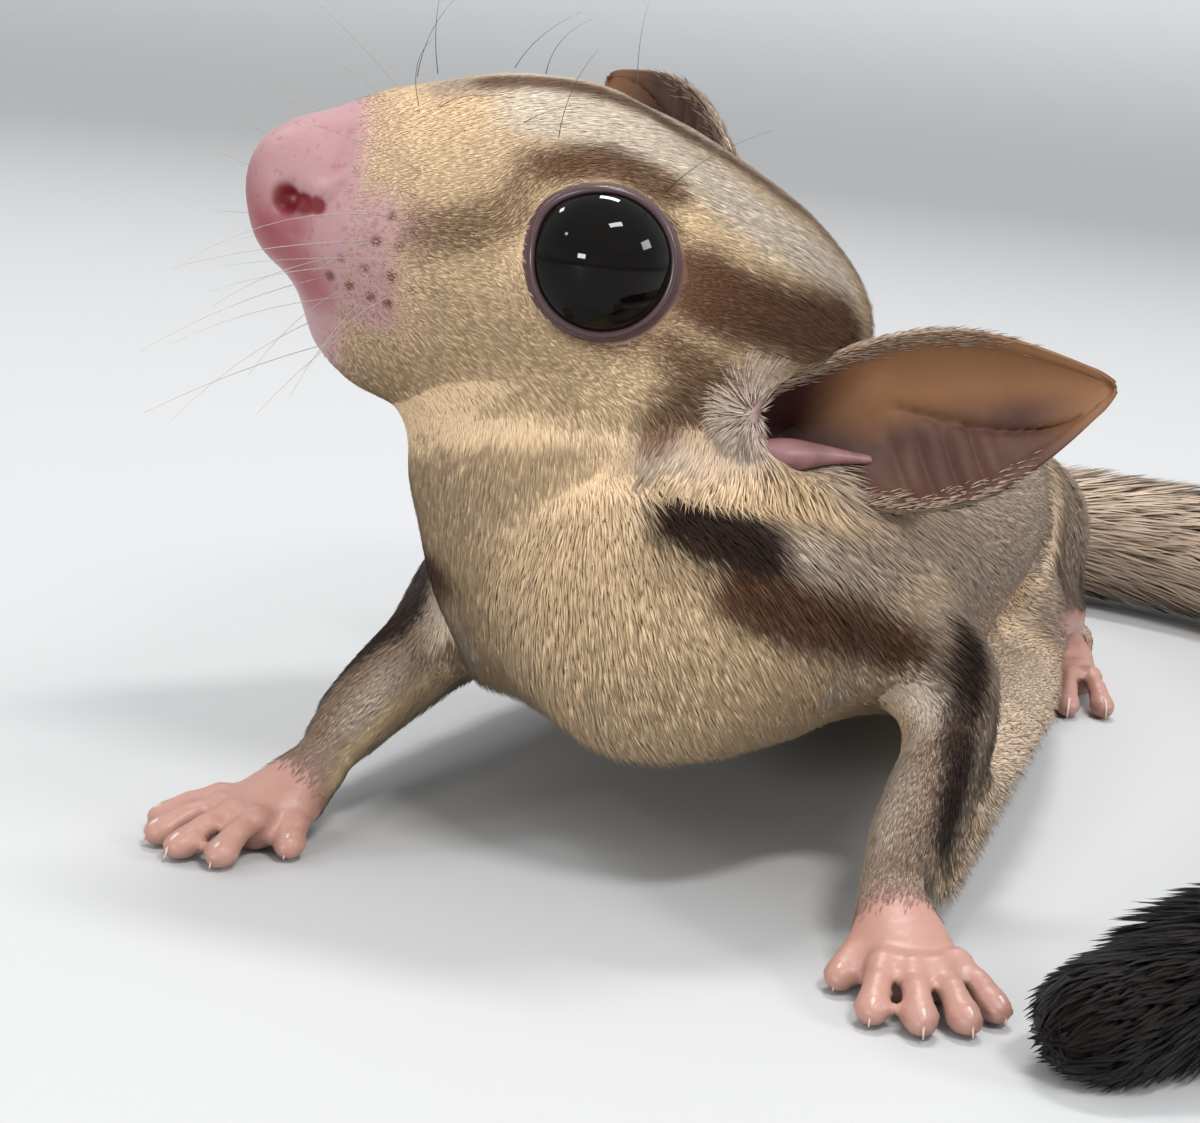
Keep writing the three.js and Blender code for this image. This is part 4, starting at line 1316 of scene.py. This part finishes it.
def floorMaterial():  # paler where it curves up, so that the ground behind the animal stays even
    made, bench, shader = newMaterial("floor")
    height = objectPlace(bench).parts()[2]
    colour = bench.mix(height.eased(0.0, 0.15), palette["floor"], palette["floorFar"])
    setUp(shader, Base_Color=colour, Roughness=0.6)
    return made


materials = {
    "fur": furMaterial(), "skin": skinMaterial(), "ear": earMaterial(), "eye": eyeMaterial(),
    "roll": plainMaterial("roll", (0.3, 0.14, 0.14), 0.6, 700.0, Roughness=0.42),
    "lid": plainMaterial("lid", (0.075, 0.038, 0.042), 0.3, 700.0, Roughness=0.28),
    "claw": plainMaterial("claw", (0.62, 0.47, 0.4), 0.2, 900.0, Roughness=0.3),
    "whisker": plainMaterial("whisker", (0.4, 0.35, 0.3), 0.4, 300.0, Roughness=0.35),
    "darkHair": plainMaterial("darkHair", (0.07, 0.05, 0.04), 0.4, 300.0, Roughness=0.4),
    "floor": floorMaterial(),
}


# Skin, eyes and claws

skin = asObject("skin", asMesh("skin", skinPoints, skinFaces))
skinMaterials = ("skin", "ear", "roll", "lid")
for name in skinMaterials:
    skin.data.materials.append(materials[name])
slots = np.zeros(len(skinFaces), np.int32)
edge = len(bodyFaces)
for name, (made, _) in extras.items():
    slots[edge:edge + len(made[1])] = skinMaterials.index(name.split("_")[0])
    edge += len(made[1])
skin.data.polygons.foreach_set("material_index", slots)
carry(skin.data, ("coverA", "coverB", "coverC", "rose", "canal", "leaf", "grain"))
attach(skin, "root")
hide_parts(*fleshNodes, *earNodes)

for name, centre in eyeCentres.items():
    facing = np.array(lidPlan["facing"]) * (sides[name], 1, 1) @ headAxes.T
    made = sphere(centre, eyeRadius, *skinPlan["ballGrid"], facing)
    ball = asObject(f"eyeball_{name}", asMesh(f"eyeball_{name}", *made))
    ball.data.materials.append(materials["eye"])
    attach(ball, "root")
    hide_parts(f"eye_{name}")
made = gathered([part for plan, name in paws.values() for part in claws(plan, name)])
nails = asObject("claws", asMesh("claws", *made))
nails.data.materials.append(materials["claw"])
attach(nails, "root")
print("skin, eyes and claws")


# The coat: tufts strewn over the skin by Geometry Nodes

tuftPlan = {
    "spread": (0.72, 1.28),  # of a tuft's size
    "most": 2.5, "quickShare": 0.3,
    "stray": 0.12,  # how far single tufts turn from the lie
    "clump": 0.3, "clumpSize": 0.9,  # how far tufts turn together, and over how many mm
    "patch": 0.003,  # width of a tuft's patch on OFBake
    "margin": 0.006,
    "seed": 11,
}
coatPieces = {  # parts of the skin, side of the head or 0 for both, tufts' shape, triangles and a label
    "coat_face_left": (("head", "nose"), 1, "short", 190000, "face_coat"),
    "coat_face_right": (("head", "nose"), -1, "short", 190000, "face_coat"),
    "coat_neck": (("neck",), 0, "short", 170000, "throat_coat"),
    "coat_chest": (("chest",), 0, "short", 150000, "belly_coat"),
    "coat_back": (("abdomen",), 0, "short", 190000, "back_coat"),
    "coat_arms": (("upper_arm", "forearm", "hand"), 0, "short", 120000, "limb_coat"),
    "coat_legs": (("thigh", "shank", "foot"), 0, "short", 120000, "limb_coat"),
    "coat_membranes": (("patagium",), 0, "short", 60000, "membrane_coat"),
    "coat_tail": (("tail_1", "tail_2", "tail_3", "tail_4"), 0, "long", 180000, "tail_coat"),
    "coat_tail_tip": (("tail_5",), 0, "long", 60000, "tail_tip_coat"),
    "coat_ears": ((), 0, "short", 40000, "ear_skin"),
}
tuftShapes = {  # a tuft one long and one wide: places with x off the skin and z along it, and faces
    "short": ([(-0.3, 0, 0), (0.14, -0.5, 0.3), (0.14, 0.5, 0.3), (0.05, 0, 1)],
              [(0, 1, 2), (1, 3, 2), (0, 2, 3), (0, 3, 1)]),
    "long": ([(-0.5, 0, 0), (0.3, -0.45, 0.02), (0.3, 0.45, 0.02), (0.7, 0, 0.45), (1.4, -0.5, 0.47),
              (1.4, 0.5, 0.47), (0.2, 0, 1)],
             [(0, 1, 2), (0, 4, 1), (0, 3, 4), (1, 5, 2), (1, 4, 5), (2, 3, 0), (2, 5, 3), (3, 6, 4),
              (4, 6, 5), (5, 6, 3)]),
}


def tuftSource(kind):
    places, faces = (np.array(rows) for rows in tuftShapes[kind])
    centre = places.mean(0)
    a, b, c = (places[faces[:, k]] for k in range(3))
    inward = (np.cross(b - a, c - a) * ((a + b + c) / 3 - centre)).sum(1) < 0
    faces[inward] = faces[inward][:, ::-1]
    source = asObject(kind, asMesh(kind, places / mm, faces))
    patch = source.data.attributes.new("patch", "FLOAT_VECTOR", "POINT")
    across = places[:, 1] + 0.5
    values = np.stack([across, places[:, 2], across * 0], axis=1)
    patch.data.foreach_set("vector", values.astype(np.float32).ravel())
    return source


def coatTree():
    tree = bpy.data.node_groups.new("coat", "GeometryNodeTree")
    ends = {"Skin": "Geometry", "Tuft": "Object", "Amount": "Float", "Seed": "Int", "Smallest": "Float",
            "Largest": "Float", "Stray": "Float", "Clump": "Float", "Clumps": "Float", "Coat": "Material"}
    for name, kind in ends.items():
        tree.interface.new_socket(name=name, in_out="INPUT", socket_type=f"NodeSocket{kind}")
    tree.interface.new_socket(name="Coat", in_out="OUTPUT", socket_type="NodeSocketGeometry")
    bench = Bench(tree)
    start = tree.nodes.new("NodeGroupInput")
    given = {name: Wire(bench, start.outputs[name]) for name in ends}

    def field(name, kind="FLOAT_VECTOR"):
        return bench.node("GeometryNodeInputNamedAttribute", {"data_type": kind}, {"Name": name})

    def drawn(low, high, step):
        return bench.node("FunctionNodeRandomValue", {"data_type": "FLOAT"},
                          {"Min": low, "Max": high, "Seed": given["Seed"] + step})

    def kept(geometry, name, value):
        return bench.node("GeometryNodeStoreNamedAttribute", {"data_type": "FLOAT", "domain": "POINT"},
                          {"Geometry": geometry, "Name": name, "Value": value})

    strewn = bench.node("GeometryNodeDistributePointsOnFaces", {"distribute_method": "RANDOM"},
                        {"Mesh": given["Skin"], "Density": field("thick", "FLOAT") * given["Amount"],
                         "Seed": given["Seed"]})
    strewn = kept(strewn, "tone", drawn(0.0, 1.0, 1))
    length, width, lift = field("tuft").parts()
    place = bench.node("GeometryNodeInputPosition")
    stray = bench.node("FunctionNodeRandomValue", {"data_type": "FLOAT_VECTOR"},
                       {"Min": (-1, -1, -1), "Max": (1, 1, 1), "Seed": given["Seed"] + 2}) * given["Stray"]
    clump = (bench.node("ShaderNodeTexNoise", {}, {"Vector": place, "Scale": given["Clumps"], "Detail": 1.0},
                        "Color") - 0.5) * given["Clump"] * 2
    normal = field("rootNormal")
    toward = field("lie") + stray + clump
    toward = toward - normal * bench.node("ShaderNodeVectorMath", {"operation": "DOT_PRODUCT"},
                                          {0: toward, 1: normal}, "Value")
    toward = toward.unit() * lift.joined("COSINE", lift) + normal * lift.joined("SINE", lift)
    turned = bench.node("FunctionNodeAxesToRotation", {"primary_axis": "Z", "secondary_axis": "X"},
                        {0: toward, 1: normal})
    size = drawn(given["Smallest"], given["Largest"], 3) * mm
    wide = width * size
    scale = bench.node("ShaderNodeCombineXYZ", {}, {0: wide, 1: wide, 2: length * size})
    tuft = bench.node("GeometryNodeObjectInfo", {}, {"Object": given["Tuft"]}, "Geometry")
    strewn = bench.node("GeometryNodeInstanceOnPoints", {},
                        {"Points": strewn, "Instance": tuft, "Rotation": turned, "Scale": scale})
    strewn = bench.node("GeometryNodeRealizeInstances", {}, {"Geometry": strewn})
    strewn = bench.node("GeometryNodeSetMaterial", {}, {"Geometry": strewn, "Material": given["Coat"]})
    end = tree.nodes.new("NodeGroupOutput")
    tree.links.new(strewn.socket, end.inputs["Coat"])
    return tree


def charted(corners, cell):  # places round and along a part laid on a unit square, one set for each cell
    uv = np.zeros((*corners.shape[:2], 2))
    cells = np.unique(cell)
    columns = math.ceil(math.sqrt(len(cells)))
    for k, each in enumerate(cells):
        here = cell == each
        part = corners[here]
        centre = part.reshape(-1, 3).mean(0)
        frameOf = np.linalg.svd(part[::5, 0] - centre, full_matrices=False)[2]
        flat = (part - centre) @ frameOf.T
        turn = np.arctan2(flat[..., 2], flat[..., 1])
        turn -= np.round((turn - turn[:, :1]) / (2 * math.pi)) * 2 * math.pi
        both = np.stack([turn, flat[..., 0]], axis=-1)
        low, high = both.min((0, 1)), both.max((0, 1))
        uv[here] = (both - low) / (high - low) * 0.96 + 0.02 + (k % columns, k // columns)
    return uv / (columns, math.ceil(len(cells) / columns))


nodeAt = np.full(len(skinFaces), -1)
nodeAt[:len(bodyFaces)] = skinNode[bodyFaces[:, 0]]
faceSide = np.sign(toHead(skinPoints[skinFaces[:, 0]])[:, 0])
tuftSources = {kind: tuftSource(kind) for kind in tuftShapes}
tree = coatTree()
identifiers = {each.name: each.identifier for each in tree.interface.items_tree if each.in_out == "INPUT"}


def coatSource(name, parts, side):
    known = [k for k, node in enumerate(nodeNames) if parts and node.startswith(parts)]
    here = np.isin(nodeAt, known) if parts else slots == skinMaterials.index("ear")
    if side:
        here &= faceSide == side
    used, faces = np.unique(skinFaces[here], return_inverse=True)
    faces = faces.reshape(-1, 3)
    source = asObject(name, asMesh(name, skinPoints[used], faces))
    carry(source.data, ("thick", "tuft", "lie", "rootNormal", "coverA", "coverB"), used)
    cell = nodeAt[here] if parts else (used[faces[:, 0]] > used.mean()).astype(int)
    uv = charted(skinPoints[used][faces], cell)
    chart = source.data.attributes.new("chart", "FLOAT_VECTOR", "CORNER")
    values = np.concatenate([uv, uv[..., :1] * 0], axis=-1)
    chart.data.foreach_set("vector", values.astype(np.float32).ravel())
    a, b, c = (skinPoints[used][faces[:, k]] for k in range(3))
    area = np.linalg.norm(np.cross(b - a, c - a), axis=1) / 2
    return source, float((area * fields["thick"][used][faces].mean(1)).sum())


def coat(name, parts, side, kind, wanted, slot, seed):
    source, whole = coatSource(name + "_source", parts, side)
    amount = min(wanted / len(tuftSources[kind].data.polygons) / whole, tuftPlan["most"])
    modifier = source.modifiers.new("coat", "NODES")
    modifier.node_group = tree
    low, high = tuftPlan["spread"]
    values = {"Tuft": tuftSources[kind], "Amount": amount / mm ** 2, "Seed": seed, "Smallest": low,
              "Largest": high, "Stray": tuftPlan["stray"], "Clump": tuftPlan["clump"],
              "Clumps": 1 / (tuftPlan["clumpSize"] * mm), "Coat": materials["fur"]}
    for key, value in values.items():
        modifier[identifiers[key]] = value
    depsgraph = bpy.context.evaluated_depsgraph_get()
    mesh = bpy.data.meshes.new_from_object(source.evaluated_get(depsgraph), depsgraph=depsgraph)
    discard(source)
    made = asObject(name, mesh)
    mesh.shade_smooth()
    chart, patch, places = np.empty((3, len(mesh.vertices) * 3), np.float32)
    mesh.vertices.foreach_get("co", places)
    places[2::3] = np.maximum(places[2::3], 0)  # no tuft dips into the floor
    mesh.vertices.foreach_set("co", places)
    mesh.attributes["chart"].data.foreach_get("vector", chart)
    mesh.attributes["patch"].data.foreach_get("vector", patch)
    uv = chart.reshape(-1, 3)[:, :2]
    low, high = uv.min(0), uv.max(0)
    margin = tuftPlan["margin"]
    uv = (uv - low) / (high - low) * (1 - 2 * margin) + margin
    uv += (patch.reshape(-1, 3)[:, :2] - 0.5) * tuftPlan["patch"]
    corners = np.empty(len(mesh.loops), np.int32)
    mesh.loops.foreach_get("vertex_index", corners)
    layer = mesh.uv_layers.new(name="OFBake")
    layer.data.foreach_set("uv", uv[corners].astype(np.float32).ravel())
    for spare in ("chart", "thick", "tuft", "lie"):
        if spare in mesh.attributes:
            mesh.attributes.remove(mesh.attributes[spare])
    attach(made, "root")
    print(name, len(mesh.polygons), round(amount, 2))


for seed, (name, plan) in enumerate(coatPieces.items(), tuftPlan["seed"]):
    coat(name, *plan, seed)
for source in tuftSources.values():
    discard(source)


# Whiskers and long hairs

hairPlan = {
    "whiskers": {"reach": (9, 18), "spread": 0.25, "droop": 2.6, "radius": 0.036},
    "brow": {"roots": [(5.6, -7.4, 6.2), (6.4, -5.2, 6.4), (3.4, -12.2, 4.4), (3.0, -13.4, 3.8),
                       (8.9, 1.8, 6.6)], "reach": (5, 9), "radius": 0.032},
    "seed": 5, "thin": 0.8,  # how much of the radius is gone at the tip
}


def hair(root, toward, bend, length, radius, side):
    mirror = np.array((side, 1, 1))
    share = np.linspace(0, 1, 9)
    path = (np.array(root) + np.outer(share * length, toward) + np.outer(share ** 2, bend)) * mirror
    return tube(fromHead(path), radius * (1 - hairPlan["thin"] * share), None, 4, (0.3, 0.4, 0.86), rounds=1)


def whiskers():
    draw = np.random.default_rng(hairPlan["seed"])
    plan, made = hairPlan["whiskers"], []
    for side in sides.values():
        for root in pores:
            out = unit(np.array((0.75 + draw.normal(0, 0.15), -0.75 + draw.normal(0, plan["spread"]),
                                 0.06 * (root[2] + 5) + draw.normal(0, 0.15))))
            length = draw.uniform(*plan["reach"])
            bend = np.array((0.5, 2.0, -plan["droop"])) * length / 17 * draw.uniform(0.5, 1.4)
            made.append(hair(root, out, bend, length, plan["radius"], side))
    return made


def browHairs():
    draw = np.random.default_rng(hairPlan["seed"] + 1)
    plan, made = hairPlan["brow"], []
    for side in sides.values():
        for root in plan["roots"]:
            out = unit(np.array((0.4 + draw.normal(0, 0.15), -0.2 + draw.normal(0, 0.25), 0.7)))
            length = draw.uniform(*plan["reach"])
            bend = np.array((0.6, 2.6, -0.6)) * draw.uniform(0.4, 1.2)
            made.append(hair(root, out, bend, length, plan["radius"], side))
    return made


hairs = {"whiskers": (whiskers(), "whisker"), "brow_hairs": (browHairs(), "darkHair")}
for name, (made, finish) in hairs.items():
    piece = asObject(name, asMesh(name, *gathered(made)))
    piece.data.materials.append(materials[finish])
    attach(piece, "root")
print("whiskers")


# Camera, light and floor

viewPlan = {
    "azimuth": 20, "elevation": 12, "roll": 6,
    "lens": 72,  # on the 36 mm wide frame of the photograph
    "from": (47.3, -142.2, 52.4),
}


def makeCamera():
    across, down, lean = (math.radians(viewPlan[k]) for k in ("azimuth", "elevation", "roll"))
    right = np.array([math.cos(across), math.sin(across), 0])
    level = np.array([-math.sin(across), math.cos(across), 0])
    ahead = level * math.cos(down) - upward * math.sin(down)
    up = level * math.sin(down) + upward * math.cos(down)
    right, up = right * math.cos(lean) + up * math.sin(lean), up * math.cos(lean) - right * math.sin(lean)
    data = bpy.data.cameras.new("view")
    data.lens = viewPlan["lens"]
    data.clip_start = 0.005
    camera = asObject("view", data)
    camera.matrix_world = Matrix.Translation(fromBody(viewPlan["from"]) * mm) @ Matrix(
        np.stack([right, up, -ahead], axis=1)).to_4x4()
    bpy.context.scene.camera = camera


lightPlan = {
    "world": (0.9, 0.93, 0.96), "worldStrength": 0.78,
    "lamps": {  # place from the left eye in mm, size in mm, watts
        "over": ((-65, 307, 681), (220, 80), 2.8),
        "front": ((297, -198, 660), (230, 80), 2.95),
        "small": ((-536, 87, 517), (80, 60), 0.5),
        "slant": ((-425, -449, 424), (60, 40), 0.25),
        "low": ((-75, -732, 145), (150, 80), 2.2),
        "side": ((640, 120, 330), (200, 120), 1.7),
    },
    "floor": 900, "curve": 700, "rings": 40, "turns": 96,
}


def makeLights():
    world = bpy.data.worlds.new("studio")
    world.use_nodes = True
    world.node_tree.nodes["Background"].inputs["Color"].default_value = (*lightPlan["world"], 1)
    world.node_tree.nodes["Background"].inputs["Strength"].default_value = lightPlan["worldStrength"]
    bpy.context.scene.world = world
    for name, (place, size, watts) in lightPlan["lamps"].items():
        data = bpy.data.lights.new(name, "AREA")
        data.shape = "RECTANGLE"
        data.size, data.size_y = (length * mm for length in size)
        data.energy = watts
        lamp = asObject(name, data)
        lamp.location = Vector(eyeCentres["left"] + place) * mm
        lamp.rotation_euler = (-Vector(place)).to_track_quat("-Z", "Y").to_euler()


def makeFloor():  # a level floor that curves up all round
    turns = np.linspace(0, 2 * math.pi, lightPlan["turns"], endpoint=False)
    rises = np.linspace(0, math.pi / 2, lightPlan["rings"])
    radii = lightPlan["floor"] + lightPlan["curve"] * np.sin(rises)
    heights = lightPlan["curve"] * (1 - np.cos(rises))
    rings = [np.column_stack([np.cos(turns) * radius, np.sin(turns) * radius, turns * 0 + height])
             for radius, height in zip(radii, heights)]
    points = np.concatenate([[(0, 0, 0)], *rings])
    faces = np.array(ringFaces(len(turns), len(radii)))
    floor = asObject("floor", asMesh("floor", points, faces))
    floor.data.materials.append(materials["floor"])


makeCamera()
makeLights()
makeFloor()
bpy.context.scene.view_settings.view_transform = "Standard"
bpy.context.scene.cycles.diffuse_bounces = 2  # later ones add next to nothing
print("camera, light and floor")
